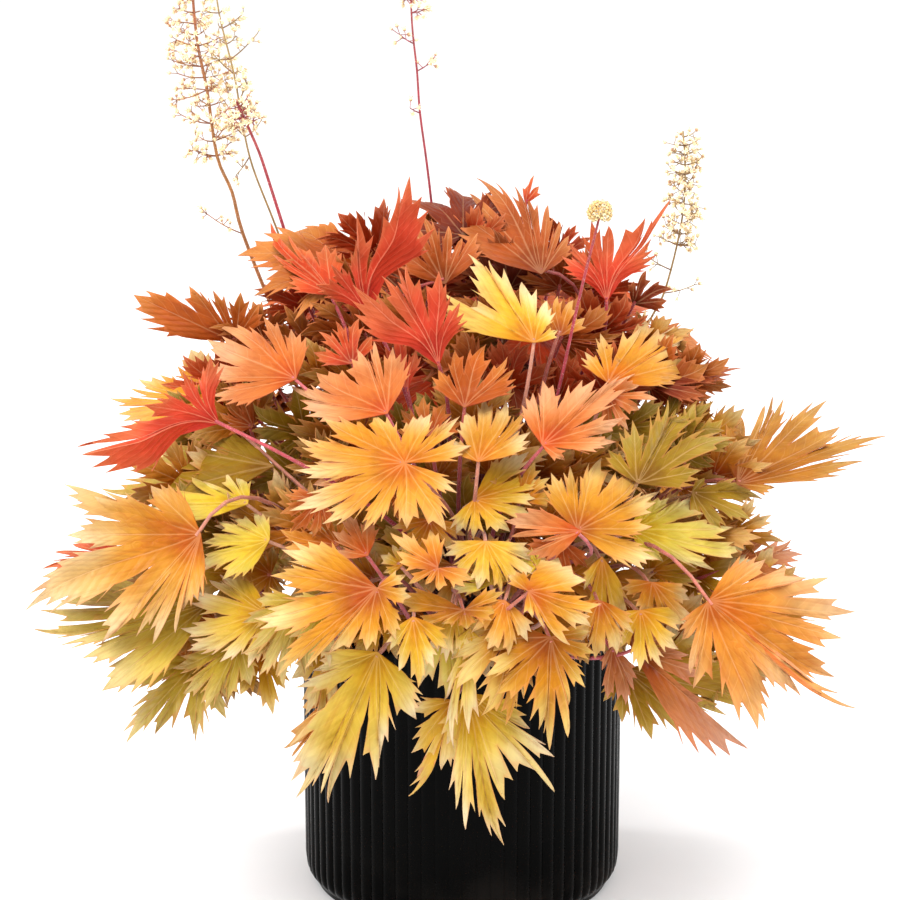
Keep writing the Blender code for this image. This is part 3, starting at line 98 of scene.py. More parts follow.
# Photographed leaves: name, the pixel where the stalk joins the blade, how many layers the leaf stands before
# the mound, tone and the pixels of the lobes' tips; then, where needed, its own slope towards the viewer for
# each millimetre right and up, a pixel that its stalk comes in from, and whether its underside shows
LEAVES = [
    ("left_01", (235, 342), 0, "rust", (132, 294, 181, 291, 219, 288, 245, 293, 259, 303)),
    ("left_02", (298, 380), 2, "salmon", (212, 396, 204, 368, 209, 340, 220, 327, 262, 319, 292, 330),
     (0.3, -0.8)),
    ("left_03", (223, 424), 3, "red", (84, 447, 92, 455, 101, 440, 150, 408, 183, 376, 216, 357),
     (-0.2, 0.5), (270, 442), True),
    ("left_04", (212, 402), 0, "gold", (107, 398, 116, 414, 132, 385, 141, 374, 189, 349), (0.4, -1.0)),
    ("left_05", (253, 427), 1, "rust", (222, 426, 220, 412, 226, 398, 240, 394)),
    ("left_06", (274, 466), 1, "olive", (93, 489, 117, 493, 141, 496, 142, 437, 146, 450, 190, 440),
     (0.4, -0.8)),
    ("left_07", (249, 504), 1, "pale", (145, 492, 150, 508, 185, 485, 204, 477, 225, 474, 237, 476),
     (0.3, -1.0)),
    ("left_08", (201, 534), 5, "apricot", (57, 496, 77, 493, 149, 486, 62, 539, 13, 616, 87, 637, 107, 637,
     134, 639, 151, 647, 167, 633, 181, 612), (0.35, -0.3), (240, 520)),
    ("left_09", (130, 556), 1, "red", (36, 571, 52, 553, 70, 545, 60, 580), (0.4, -0.7)),
    ("left_10", (210, 603), 1, "khaki", (25, 631, 58, 648, 39, 610, 55, 603, 83, 667, 99, 693),
     (0.35, -0.8)),
    ("left_11", (201, 657), 1, "khaki", (124, 687, 124, 745, 153, 739, 184, 735, 198, 743, 225, 720,
     233, 697), (0.3, -0.2)),
    ("left_12", (268, 613), 2, "butter", (184, 653, 180, 628, 188, 593, 205, 585, 220, 575, 216, 660,
     248, 668), (0.25, -0.6)),
    ("left_13", (270, 540), 2, "pale", (193, 571, 200, 545, 215, 525, 235, 515, 255, 512, 222, 580),
     (0.25, -0.8)),
    ("left_14", (262, 648), 0, "yellow", (203, 670, 212, 650, 237, 695, 271, 718, 285, 690)),
    ("top_01", (369, 316), 3, "red", (314, 290, 326, 270, 351, 242, 370, 215, 393, 187, 410, 178),
     (0.1, 0.35), None, True),
    ("top_02", (445, 284), 1, "copper", (395, 247, 401, 209, 417, 217, 449, 225, 459, 236, 478, 232)),
    ("top_03", (410, 300), 0, "maroon", (351, 215, 372, 226, 385, 250, 360, 250, 405, 240), (0, -0.8)),
    ("top_04", (332, 295), 2, "red", (268, 219, 276, 250, 290, 232, 307, 242, 325, 244, 288, 275),
     (0.2, -0.8)),
    ("top_05", (439, 366), 5, "red", (354, 287, 380, 280, 398, 269, 411, 266, 438, 272, 460, 303),
     (0, 0.35), (445, 382), True),
    ("top_06", (534, 343), 5, "yellow", (441, 291, 468, 300, 468, 253, 495, 258, 520, 282, 540, 300,
     558, 330), (0.1, -0.7)),
    ("top_07", (541, 275), 1, "copper", (459, 212, 470, 191, 477, 175, 505, 188, 527, 193, 545, 204,
     564, 223, 569, 236), (0.1, -0.5)),
    ("top_08", (607, 302), 2, "red", (561, 257, 572, 240, 588, 223, 616, 227, 636, 216, 668, 202, 650, 240),
     (0, 0.3), None, True),
    ("top_09", (633, 304), 0, "maroon", (634, 281, 650, 272, 675, 288, 668, 300)),
    ("top_10", (560, 336), 3, "orange", (534, 312, 545, 300, 558, 296, 574, 300, 585, 318)),
    ("top_11", (497, 262), -1, "olive", (475, 250, 484, 228, 494, 232, 505, 243), (0, -0.5)),
    ("top_12", (608, 383), 3, "gold", (697, 359, 691, 346, 697, 326, 675, 322, 650, 308, 634, 320, 611, 334,
     585, 352), (-0.2, -0.8)),
    ("top_13", (650, 385), 1, "maroon", (708, 396, 716, 372, 745, 367, 712, 359, 690, 362), (-0.2, -1.0)),
    ("top_14", (607, 395), 4, "salmon", (610, 432, 630, 429, 640, 410, 658, 399, 640, 385)),
    ("top_15", (525, 204), 0, "red", (529, 184, 534, 175, 539, 186), (0, 0)),
    ("right_01", (542, 445), 6, "salmon", (533, 393, 551, 381, 590, 376, 637, 373, 620, 411, 616, 434,
     565, 460), (-0.1, -0.7)),
    ("right_02", (636, 483), 3, "olive", (607, 450, 625, 420, 664, 399, 679, 409, 702, 411, 735, 438,
     700, 470), (-0.2, -0.75)),
    ("right_03", (680, 450), 0, "olive", (676, 412, 700, 404, 725, 418, 738, 442, 716, 462)),
    ("right_04", (737, 484), 1, "bronze", (742, 416, 753, 401, 770, 393, 790, 399, 834, 401, 841, 423,
     889, 436, 871, 465, 776, 488), (-0.2, -0.9), (705, 476)),
    ("right_05", (692, 492), 1, "olive", (705, 478, 766, 500, 751, 522, 722, 534, 700, 520), (-0.3, -0.8)),
    ("right_06", (577, 530), 6, "amber", (551, 473, 569, 466, 606, 459, 640, 470, 662, 492, 650, 520,
     659, 560), (-0.15, -0.7)),
    ("right_07", (630, 530), 3, "pale", (664, 562, 720, 562, 761, 547, 735, 525, 712, 505, 670, 498),
     (-0.25, -0.8)),
    ("right_08", (735, 565), 0, "mauve", (765, 532, 776, 532, 792, 537, 806, 557, 811, 588), (-0.3, -0.6)),
    ("right_09", (708, 601), 5, "peach", (767, 560, 805, 567, 835, 593, 860, 610, 846, 640, 846, 670,
     861, 711, 820, 702, 794, 708, 750, 734, 707, 692, 684, 672, 683, 640), (-0.25, -0.3), (672, 580)),
    ("right_10", (652, 582), 3, "gold", (621, 589, 647, 618, 671, 619, 692, 628, 690, 600)),
    ("right_11", (633, 650), 3, "mauve", (629, 625, 673, 633, 690, 655, 706, 679, 720, 720, 751, 752),
     (-0.3, -0.3)),
    ("right_12", (625, 668), 1, "olive", (604, 702, 619, 723, 650, 742, 684, 742, 706, 744, 731, 717,
     771, 707), (-0.3, -0.2)),
    ("right_13", (612, 646), 2, "mauve", (602, 670, 610, 700, 626, 706, 634, 690), (-0.9, 0.0)),
    ("right_14", (602, 556), 4, "yellow", (584, 590, 590, 640, 606, 657, 620, 630), (-0.7, 0.1)),
    ("front_01", (405, 463), 7, "gold", (289, 511, 294, 467, 298, 432, 328, 415, 370, 416, 425, 412,
     466, 421, 471, 446, 457, 493, 438, 534, 416, 528, 361, 532, 318, 520), (0.05, -0.75)),
    ("front_02", (474, 499), 4, "yellow", (456, 534, 480, 539, 507, 534, 533, 522, 541, 501, 543, 480,
     529, 452), (0, -0.7)),
    ("front_03", (478, 462), 5, "gold", (451, 440, 462, 412, 483, 396, 505, 400, 525, 409, 530, 432),
     (0, -0.8)),
    ("front_04", (388, 414), 5, "salmon", (300, 400, 290, 385, 320, 368, 350, 352, 378, 341, 393, 347),
     (0.2, -0.7)),
    ("front_05", (464, 408), 4, "rust", (438, 370, 458, 350, 486, 345, 505, 356, 514, 370), (0, -0.8)),
    ("front_06", (408, 392), 3, "red", (390, 372, 388, 345, 400, 332, 416, 350), (0.5, 0.1), None, True),
    ("front_07", (352, 364), 3, "red", (313, 352, 318, 332, 335, 320, 360, 318, 372, 336)),
    ("front_08", (377, 588), 7, "amber", (281, 550, 269, 583, 251, 620, 276, 678, 306, 672, 332, 656,
     360, 650, 392, 641, 411, 598, 406, 575), (0.1, -0.35)),
    ("front_09", (378, 652), 5, "butter", (312, 672, 300, 700, 292, 806, 321, 796, 329, 810, 362, 782,
     394, 757, 416, 721), (0.05, 0.05)),
    ("front_10", (340, 690), 3, "orange", (302, 708, 281, 749, 290, 760, 310, 742)),
    ("front_11", (413, 616), 6, "yellow", (390, 650, 403, 672, 418, 689, 434, 668, 448, 650), (0, -0.1)),
    ("front_12", (464, 610), 6, "honey", (395, 601, 411, 627, 440, 622, 469, 629, 498, 612, 505, 592),
     (0, -0.4)),
    ("front_13", (438, 568), 8, "orange", (390, 533, 397, 550, 407, 581, 426, 585, 440, 591, 473, 580,
     430, 530), (0, -0.6)),
    ("front_14", (402, 566), 5, "yellow", (383, 573, 380, 556, 392, 545, 408, 544), (0, -0.7)),
    ("front_15", (551, 637), 6, "honey", (482, 640, 480, 668, 500, 700, 531, 730, 551, 754, 564, 740,
     564, 707, 577, 693, 594, 657, 590, 632), (-0.05, -0.15)),
    ("front_16", (470, 628), 5, "butter", (452, 660, 449, 700, 454, 752, 474, 735, 490, 680), (0.2, 0.1)),
    ("front_17", (467, 693), 4, "butter", (447, 745, 454, 811, 468, 832, 505, 854, 509, 800, 523, 781,
     554, 796, 548, 767, 530, 730), (0, 0.05)),
    ("front_18", (454, 700), 3, "yellow", (412, 712, 405, 750, 408, 801, 423, 782, 441, 772)),
    ("front_19", (528, 591), 8, "amber", (508, 575, 587, 584, 602, 604, 592, 628, 571, 646, 550, 628,
     533, 618), (0, -0.55)),
    ("front_20", (490, 585), 5, "pale", (451, 588, 452, 568, 474, 556, 500, 560, 512, 572), (0, -0.6)),
    ("front_21", (500, 560), 4, "gold", (461, 552, 470, 536, 492, 532, 513, 540, 520, 552), (0, -0.8)),
    ("front_22", (538, 566), 6, "pale", (512, 580, 515, 562, 524, 550, 540, 548)),
    ("front_23", (338, 546), 4, "orange", (284, 548, 279, 530, 300, 514, 325, 512, 346, 520), (0.15, -0.8)),
    ("front_24", (368, 556), 6, "salmon", (336, 550, 334, 530, 346, 513, 366, 518), (0.2, -0.7)),
]

# Leaves and a folded lobe that the photograph shows in the middle of the mound, in the same form
MORE_LEAVES = [
    ("more_01", (486, 541), 6, "yellow", (444, 556, 450, 574, 474, 591, 498, 595, 521, 587, 541, 577,
     536, 562), (0, -0.5)),
    ("more_02", (561, 541), 4, "rust", (524, 552, 530, 572, 548, 588, 570, 586, 588, 568), (0, -0.4)),
    ("more_03", (455, 606), 4.5, "yellow", (422, 636, 430, 655, 446, 664, 464, 660, 482, 642), (0, -0.2)),
    ("more_04", (321, 499), 5, "rust", (284, 495, 280, 514, 290, 532, 310, 538, 328, 530), (0.2, -0.5)),
    ("more_05", (330, 600), 4, "pale", (290, 604, 282, 626, 290, 652, 308, 672, 330, 668, 344, 646),
     (0.2, -0.3)),
    ("more_06", (430, 520), 3.5, "amber", (392, 528, 396, 550, 414, 566, 436, 570, 456, 556, 466, 536),
     (0, -0.5)),
    ("more_07", (505, 600), 6, "gold", (470, 612, 472, 634, 486, 652, 508, 656, 528, 642), (0, -0.3)),
    ("more_08", (600, 600), 4, "amber", (574, 612, 578, 640, 596, 660, 616, 656, 634, 634), (-0.2, -0.3)),
    ("more_09", (640, 610), 3, "yellow", (616, 622, 618, 650, 640, 672, 664, 670, 682, 648, 690, 624),
     (-0.3, -0.3)),
    ("more_10", (300, 600), 3, "khaki", (256, 600, 240, 622, 238, 650, 258, 676, 284, 690, 304, 676),
     (0.2, -0.3)),
    ("more_11", (240, 640), 2, "khaki", (186, 640, 170, 668, 178, 700, 204, 712, 232, 704, 250, 686),
     (0.3, -0.3)),
    ("more_12", (430, 436), 4.5, "rust", (396, 430, 402, 408, 424, 396, 448, 404, 462, 422), (0, -0.7)),
    ("more_13", (520, 500), 4.5, "honey", (484, 492, 490, 470, 512, 458, 536, 462, 552, 480, 556, 498),
     (0, -0.6)),
    ("more_14", (516, 624), 5, "honey", (458, 636, 452, 662, 460, 694, 480, 718, 506, 728, 524, 700),
     (0, -0.2)),
    ("more_15", (448, 618), 4, "pale", (412, 650, 424, 690, 444, 704, 462, 690, 474, 660), (0, -0.1)),
    ("more_16", (352, 470), 3.5, "salmon", (318, 462, 312, 484, 322, 506, 344, 512, 362, 500), (0.1, -0.6)),
    ("more_17", (330, 640), 3, "yellow", (300, 650, 292, 680, 298, 716, 318, 736, 338, 716, 346, 684),
     (0.1, -0.1)),
    ("fold_01", (582, 531), 8.5, "salmon", (505, 522, 512, 538, 527, 556, 543, 545), (0.1, -0.1),
     (592, 540)),
]

# Leaves made by rule for the sides, the back and the inside, ring by ring: name, count, height, reach and
# length in millimetres, tilt, first and last turn in degrees, and tones
RINGS = [
    ("low", 9, 198, 118, 80, -40, -14, 194, "yellow olive gold"),
    ("middle", 8, 258, 104, 80, -14, -22, 202, "gold orange olive"),
    ("high", 7, 312, 70, 72, 16, 0, 180, "rust maroon red"),
    ("crown", 3, 336, 30, 52, 40, 40, 140, "red maroon copper"),
    ("inner", 5, 262, 64, 64, -34, 198, 342, "orange gold olive"),
    ("heart", 4, 318, 40, 54, -28, 200, 340, "maroon red"),
]
MORE_RINGS = [
    ("back_low", 8, 232, 122, 72, -34, 4, 176, "khaki gold yellow amber"),
    ("back_middle", 8, 280, 112, 66, -10, -4, 184, "orange olive rust amber"),
    ("back_high", 7, 326, 88, 60, 10, 6, 174, "copper red rust"),
    ("back_top", 5, 346, 60, 46, 24, 14, 166, "red maroon copper"),
    ("side_middle", 4, 268, 132, 62, -14, 166, 212, "amber orange khaki"),
    ("side_low", 4, 226, 136, 66, -30, 160, 206, "khaki gold yellow"),
]
PALM_ANGLES = (-112, -75, -38, 0, 38, 75, 112)
PALM_LENGTHS = (0.62, 0.82, 0.95, 1.0, 0.95, 0.82, 0.62)

# Flower stems: the turn and rise of the foot on the crown, how far before the pot's axis, the route's pixels,
# the heights between which twigs stand, and branches (from, to, florets) that the photograph shows
STEMS = [
    dict(name="left_tall", foot=(152.1, 50.6), near=-52, radius=1.5, tone="orange", route=(275, 315,
         243, 234, 232, 192, 217, 156, 207, 90, 198, 46, 193, 0, 190, -60), flowers=(150, -62), reach=33,
         seed=48, twigs=44, blooms=8, branches=[(243, 234, 207, 214, 9), (214, 150, 190, 144, 12),
         (214, 136, 228, 116, 10), (206, 88, 176, 98, 12), (207, 94, 228, 96, 10), (203, 72, 174, 66, 9),
         (204, 76, 228, 70, 10), (196, 34, 172, 28, 9), (199, 50, 178, 44, 8)]),
    dict(name="left_thin", foot=(156.7, 61.3), near=-30, radius=0.9, tone="olive", route=(300, 295,
         276, 227, 253, 168, 243, 126, 234, 74, 219, 13, 212, -45), flowers=(130, -47), reach=22, seed=36,
         twigs=20, blooms=4, branches=[(232, 60, 259, 34, 6), (220, 26, 241, 11, 5), (240, 100, 248, 82, 8),
         (249, 160, 236, 178, 6), (244, 132, 231, 118, 8), (234, 74, 208, 48, 6)]),
    dict(name="left_red", foot=(-179.8, 63.0), near=-10, radius=1.5, tone="red", route=(310, 305, 300, 278,
         285, 232, 270, 185, 259, 152, 244, 118, 236, 100), flowers=(120, 90), reach=18, seed=28, twigs=14,
         blooms=6, branches=[]),
    dict(name="middle", foot=(132.9, 75.7), near=-20, radius=1.0, tone="red", route=(433, 219, 427, 165,
         420, 113, 417, 71, 413, 35, 411, 0, 409, -95), flowers=(10, -97), reach=14, seed=28, twigs=9,
         blooms=3, branches=[(420, 113, 410, 108, 3), (419, 71, 435, 60, 7), (413, 43, 399, 34, 7),
         (412, 15, 424, 12, 7), (412, 5, 400, 2, 6)]),
    dict(name="right", foot=(26.1, 49.9), near=-45, radius=0.9, tone="olive", route=(650, 320, 664, 293,
         677, 245, 684, 204, 685, 165, 683, 131), flowers=(238, 129), reach=21, seed=37, twigs=40, blooms=6,
         branches=[(676, 250, 694, 249, 6), (672, 268, 648, 254, 7), (664, 290, 694, 282, 6)]),
    dict(name="bud", foot=(-63.4, 50.0), near=95, radius=1.3, tone="red", route=(563, 371, 574, 321,
         586, 270, 597, 227, 600, 212), flowers=(222, 204), reach=12, seed=24, twigs=0, blooms=0, buds=70,
         branches=[]),
]

# Where each shoot's foot stands on the crown (turn and rise in degrees), and for each of its leaves how many
# steps it was pushed out, and its stalk's sway, lift and how late it turns in, where these differ from
# SETTLED
SETTLED = [0, 0, 0, 0.3]
SHOOTS = {
    "low_01": (-2.9, 21.0, ("low_01",)),
    "low_02": (32.4, 23.2, ("low_02", -3), ("low_03", 6, 0, 0.25)),
    "low_04": (63.4, 22.4, ("low_04", 4)),
    "low_05": (85.6, 19.5, ("low_05",)),
    "low_06": (112.4, 26.2, ("low_06", 2)),
    "low_07": (131.4, 19.6, ("low_07",)),
    "low_08": (160.3, 24.7, ("low_08", 2)),
    "low_09": (-175.3, 19.8, ("low_09",)),
    "middle_01": (-30.5, 46.6, ("middle_01",), ("inner_05", 12), ("top_12", 0, 0, 0, 0.45)),
    "middle_02": (10.1, 55.0, ("middle_02", -5), ("high_01", 2)),
    "middle_03": (61.7, 44.0, ("middle_03", 10), ("middle_04",)),
    "middle_05": (105.1, 57.4, ("middle_05", 2), ("high_04", 2), ("crown_03", -11)),
    "middle_06": (128.6, 44.7, ("middle_06", -5)),
    "middle_08": (-161.9, 47.4, ("middle_08",), ("inner_01",), ("left_01", 0, -0.12, 0.12, 0.18)),
    "high_02": (41.6, 60.3, ("high_02", 10)),
    "high_03": (46.9, 71.8, ("high_03", -1), ("crown_01",), ("top_15", 0, 0, 0, 0.45)),
    "high_05": (121.3, 65.3, ("high_05", 6), ("high_06", 10, 0, 0.25), ("crown_02", 22, 0.12)),
    "high_07": (170.6, 53.3, ("high_07", 20, -0.12)),
    "inner_02": (-139.3, 49.5, ("inner_02", 2), ("left_04", 1, 0.38, -0.1, 0.45),
        ("left_02", 7, 0.38, -0.1, 0.45)),
    "heart_01": (-126.4, 71.8, ("heart_01",), ("top_03", 0, -0.38, 0, 0.18),
        ("top_02", 0, -0.38, 0.12, 0.18)),
    "heart_02": (-66.7, 69.7, ("heart_02", 2, 0, 0, 0.18), ("heart_04", 8, 0, -0.1, 0.18),
        ("top_08", 0, 0.12)),
    "heart_03": (-36.6, 76.5, ("heart_03", 4, 0, -0.1, 0.18), ("top_11", 0, 0, 0, 0.45)),
    "top_09": (-27.3, 57.4, ("top_09",), ("top_13", 0, 0.38, 0.12)),
    "top_07": (-52.0, 60.5, ("top_07", 3, 0.38, 0.12, 0.18), ("top_10", 0, 0, 0.25), ("top_14",)),
    "top_04": (-131.4, 59.5, ("top_04",), ("top_01", 0, 0.12), ("front_07", 0, 0, 0.12)),
    "right_03": (-43.8, 36.3, ("right_03", 0, 0.12, -0.1), ("right_05",), ("right_02", 5)),
    "left_05": (-139.9, 38.5, ("left_05", 0, -0.24, -0.1), ("left_06", 0, -0.24),
        ("left_03", 9, 0.38, -0.1, 0.45)),
    "right_04": (-36.5, 26.3, ("right_04",), ("right_08",)),
    "left_09": (-148.1, 20.0, ("left_09",)),
    "left_11": (-132.8, 16.8, ("left_11",), ("left_14",), ("left_10",)),
    "left_07": (-125.9, 28.6, ("left_07", 3, 0, 0, 0.18), ("left_13", 1), ("left_12", 1)),
    "front_06": (-107.4, 55.7, ("front_06", 0, 0, 0, 0.45), ("top_05",)),
    "top_06": (-74.3, 59.0, ("top_06", 1)),
    "right_12": (-64.0, 18.1, ("right_12",), ("right_13", 1), ("right_11", 0, 0, 0, 0.18)),
    "inner_03": (-91.5, 50.3, ("front_05", 5), ("front_04", 4, 0, 0, 0.45)),
    "right_07": (-61.4, 28.9, ("right_07",), ("right_14",)),
    "front_10": (-113.5, 27.2, ("front_10",), ("front_23",)),
    "front_03": (-90.8, 39.3, ("front_03", 5), ("front_02", 2, 0, 0, 0.18), ("front_01", 2)),
    "left_08": (-138.0, 26.6, ("left_08", 0, 0, 0.25, 0.18)),
    "front_18": (-86.3, 15.1, ("front_18",), ("front_17",), ("front_16",)),
    "right_10": (-52.8, 21.1, ("right_10",), ("right_09", 0, 0, 0.25)),
    "right_01": (-74.2, 41.8, ("right_01",)),
    "front_21": (-73.9, 30.8, ("front_21",), ("right_06", 2)),
    "front_14": (-97.1, 18.5, ("front_14",), ("front_11", 1), ("front_08",)),
    "front_09": (-108.5, 17.3, ("front_09",), ("front_24",)),
    "front_20": (-85.1, 25.9, ("front_20", 0, 0, 0.12, 0.18), ("front_22",)),
    "front_15": (-75.6, 19.4, ("front_15",), ("front_19",)),
    "front_12": (-96.8, 29.4, ("front_12",), ("front_13",)),
}

# Stalk tints from the foot to the blade, by the tones of the blades, and those of the flower stems
STALK_TINTS = {
    "gold apricot": ("8A4A34", "B4614E", "D98A6E"),
    "yellow": ("8A4A34", "B9685A", "DD9578"),
    "pale butter": ("8A5A3A", "BC7258", "E0A080"),
    "khaki olive": ("7A5030", "A0603A", "C08A50"),
    "bronze orange honey peach amber": ("7A3030", "B04848", "D87860"),
    "mauve salmon": ("7A2838", "B43C52", "D86468"),
    "copper rust": ("6A2428", "9C3440", "C05048"),
    "red": ("6A1C28", "A82C44", "CC4450"),
    "maroon": ("561820", "8C2434", "AC3A3C"),
}
STEM_TINTS = {
    "orange": ("7A3A2C", "A8622E", "BC7C38", "C06A48"),
    "olive": ("7A4030", "98703C", "A88648", "BC9C5C"),
    "red": ("7A1C28", "A82038", "B42C40", "A8403C"),
}
CUP_CODES = ("D9A070", "E6C08C", "C98868", "EAD09C")
BUD_CODES = ("F2DC9C", "ECC878", "E0B468", "F6E6B8")
GOLDEN_TURN = 2.399963
PETAL_CODE, THROAT_CODE, STAMEN_CODE, BUD_TIP_CODE = "F3E6C6", "EAD8A8", "D08840", "5A3A20"

# Turned forms of a floret's cup and of a bud: (radius, height) in sizes of the flower
CUP = [(0.02, 0.0), (0.30, 0.02), (0.52, 0.28), (0.60, 0.62), (0.46, 0.92), (0.02, 0.86)]
BUD = [(0.02, -1.0), (0.62, -0.72), (0.96, -0.1), (0.72, 0.62), (0.30, 0.95), (0.02, 1.02)]
FLOWER_SIDES = 7
BUD_HEAD = (6.2, 6.2, 5.8)

# Side teeth of a lobe, by how many fit: (notch, how far out, tooth, how far out), as shares of the half
# width and of the free length
TEETH = [
    [],
    [(0.45, 0.64, 0.80, 0.75)],
    [(0.30, 0.70, 0.47, 0.84), (0.66, 0.52, 0.92, 0.65)],
    [(0.22, 0.73, 0.36, 0.86), (0.50, 0.58, 0.66, 0.73), (0.80, 0.44, 0.96, 0.54)],
    [(0.17, 0.79, 0.29, 0.90), (0.37, 0.67, 0.51, 0.80), (0.60, 0.53, 0.75, 0.66), (0.83, 0.38, 0.98, 0.49)],
]

# Where the slits between lobes begin, as shares of the shorter lobe: between groups of lobes, inside one, and
# outside the first and last lobe, whose outer halves are at most so many radians wide
DEEP_GAP = 0.40
DEEP_SLIT = (0.30, 0.42)
SHALLOW_SLIT = (0.48, 0.62)
OUTER_SLIT = 0.30
OUTER_HALF = 0.42

# More leaves inside the mound: the reach of their grid at heights in the picture, and tones from the top down
INNER_SEED = 5
INNER_STEP_PX = 46
INNER_SIZE = (50, 76)
INNER_REACH = [(250, 110), (300, 170), (360, 235), (440, 270), (520, 290), (620, 320), (700, 290)]
INNER_MIDDLE_PY = 560
INNER_LOW_PY = 640
INNER_LOW_REACH = 190
# Painted shade: the colour of the leaves inside the mound is darkened by this factor, because they stand deep
# among the other leaves
INNER_PAINTED_SHADE = 0.8
INNER_TONES = [("maroon", "red", "rust"), ("red", "rust", "orange"), ("orange", "olive", "amber"),
               ("gold", "orange", "olive"), ("yellow", "amber", "gold"), ("yellow", "olive", "gold")]
FILL_STALK = 0.8


def srgb(code):
    """The linear colour of a six-digit colour code."""
    parts = [int(code[k:k + 2], 16) / 255 for k in (0, 2, 4)]
    return np.array([part / 12.92 if part <= 0.04045 else ((part + 0.055) / 1.055) ** 2.4 for part in parts])


# Upper side of a blade at its centre, half way out and at its tips, by tone
TONES = {
    "gold": ("D26A24", "E9A244", "F8E0A4"),
    "yellow": ("DE8A2A", "ECBE48", "FAECB0"),
    "pale": ("D9B54A", "E4D06E", "F2E7A6"),
    "orange": ("C4521C", "E08C34", "F4C878"),
    "honey": ("A8500E", "D08A20", "F2D880"),
    "peach": ("CC6430", "E89A56", "F4C68C"),
    "copper": ("8E3A22", "B85A34", "D68A50"),
    "amber": ("BE5414", "E29C34", "F8E09C"),
    "salmon": ("CE4B38", "E0825A", "EEB585"),
    "rust": ("9E3A1C", "C05E2A", "D98C42"),
    "red": ("B8301C", "D4482A", "E07440"),
    "maroon": ("5E1A1A", "84301F", "B25C2C"),
    "olive": ("90661C", "AE8C30", "C6AE52"),
    "khaki": ("B08A2C", "CAB056", "DCCB82"),
    "butter": ("D8A23A", "E8C86C", "F9ECBA"),
    "bronze": ("9A4420", "C07E36", "D6A454"),
    "mauve": ("A04440", "C47A60", "D69C7C"),
    "apricot": ("C4642A", "E2A050", "F6DAA4"),
}

# How far the codes are darkened: stalks; blades in red and green; blades in blue, at the centre and the tips;
# undersides, whose colour shows more on a leaf that is seen from beneath
STALK_SHADE = 0.66
BLADE_SHADE = (0.61, 0.565)
BLUE_SHADE = (0.08, 0.56)
UNDERSIDE = ("C22A20", "DC4630", "E47248")
UNDER_SHADE = 0.78
UNDER_SHARE = {True: 0.75, False: 0.35}
BUD_SHADE = 0.8

# The pot's outside in millimetres: inset, height and how ribbed, from the foot up, then down from the rim
POT_FOOT = [
    (8.2, 0, 0), (7.4, 0.3, 0), (7, 1, 0), (6.8, 3, 0), (6.3, 3.8, 0), (5.4, 4.3, 0), (2.6, 7.6, 0.4),
    (1.5, 9.8, 0.9), (0.9, 13, 1), (0.5, 17, 1), (0.3, 60, 1), (0.15, 110, 1),
]
POT_RIM = [(0, 3, 1), (0, 1.2, 0.5), (0.5, 0.3, 0.1), (1.3, 0, 0)]

# The light and the floor: name, place, target, size in metres and power in watts
WORLD_STRENGTH = 1.05
LIGHTS = [
    ("key", (-0.45, -1.25, 2.5), (0, 0, 0.3), (2.4, 2.4), 94),
    ("side_left", (-1.9, 0.5, 0.6), (0, 0, 0.15), (0.35, 1.4), 26),
    ("side_right", (1.9, 0.5, 0.6), (0, 0, 0.15), (0.35, 1.4), 26),
]
FLOOR_REACH = 14.0


def unproject(px, py, depth):
    """The point that the photograph shows at a pixel, depth metres towards the viewer."""
    scale = METRES_A_PIXEL * (1 - depth / VIEW_DISTANCE)
    x = (PICTURE_CENTRE_PX[0] - POT_AXIS_PX) * METRES_A_PIXEL + (px - PICTURE_CENTRE_PX[0]) * scale
    rise = (POT_FOOT_PY - PICTURE_CENTRE_PX[1]) * METRES_A_PIXEL + (PICTURE_CENTRE_PX[1] - py) * scale
    return x * RIGHT + rise * UP + depth * TOWARD


def from_picture(px, py, near):
    """The point at a pixel that lies near metres before the pot's axis."""
    depth = near
    for _ in range(6):
        rise = unproject(px, py, depth).dot(UP)
        depth = (near + rise * math.sin(VIEW_ELEVATION)) / math.cos(VIEW_ELEVATION)
    return unproject(px, py, depth)


def mound(x, z):
    """How far the foliage's outside stands before the pot's axis at a place across and a height."""
    across = max(0.0, 1 - (x / (285 * MM)) ** 2)
    height = min(1.0, max(0.0, (435 * MM - z) / (205 * MM)))
    return 172 * MM * math.sqrt(across) * height


def on_mound(px, py, offset):
    """The point of the mound at a pixel, moved towards the viewer by offset."""
    near = 0.0
    for _ in range(8):
        point = from_picture(px, py, near)
        near = mound(point.x, point.z) + offset
    return from_picture(px, py, near)


def in_view(vector):
    """A vector's share across, up and towards the viewer."""
    return Vector((vector.dot(RIGHT), vector.dot(UP), vector.dot(TOWARD)))


def mound_lean(base, tips):
    """The slope across and up that lays a leaf from its base out along the mound."""
    xx = yy = xy = xn = yn = 0.0
    for px, py in tips:
        dx, dy, dn = in_view(on_mound(px, py, 10 * MM) - base)
        xx, yy, xy, xn, yn = xx + dx * dx, yy + dy * dy, xy + dx * dy, xn + dx * dn, yn + dy * dn
    xx, yy = xx + 0.0004, yy + 0.0004
    spread = xx * yy - xy * xy
    slopes = ((xn * yy - yn * xy) / spread, (yn * xx - xn * xy) / spread)
    return [min(0.9, max(-0.9, slope)) for slope in slopes]


def sorted_lobes(lobes):
    """Lobes (angle, length) in order round the blade, starting after the widest gap."""
    lobes = sorted(lobes)
    count = len(lobes)
    gaps = [(lobes[(k + 1) % count][0] - lobes[k][0]) % math.tau for k in range(count)]
    widest = max(range(count), key=gaps.__getitem__)
    turned = [lobes[(widest + 1 + k) % count] for k in range(count)]
    first = turned[0][0]
    return [(first + (angle - first) % math.tau, length) for angle, length in turned]


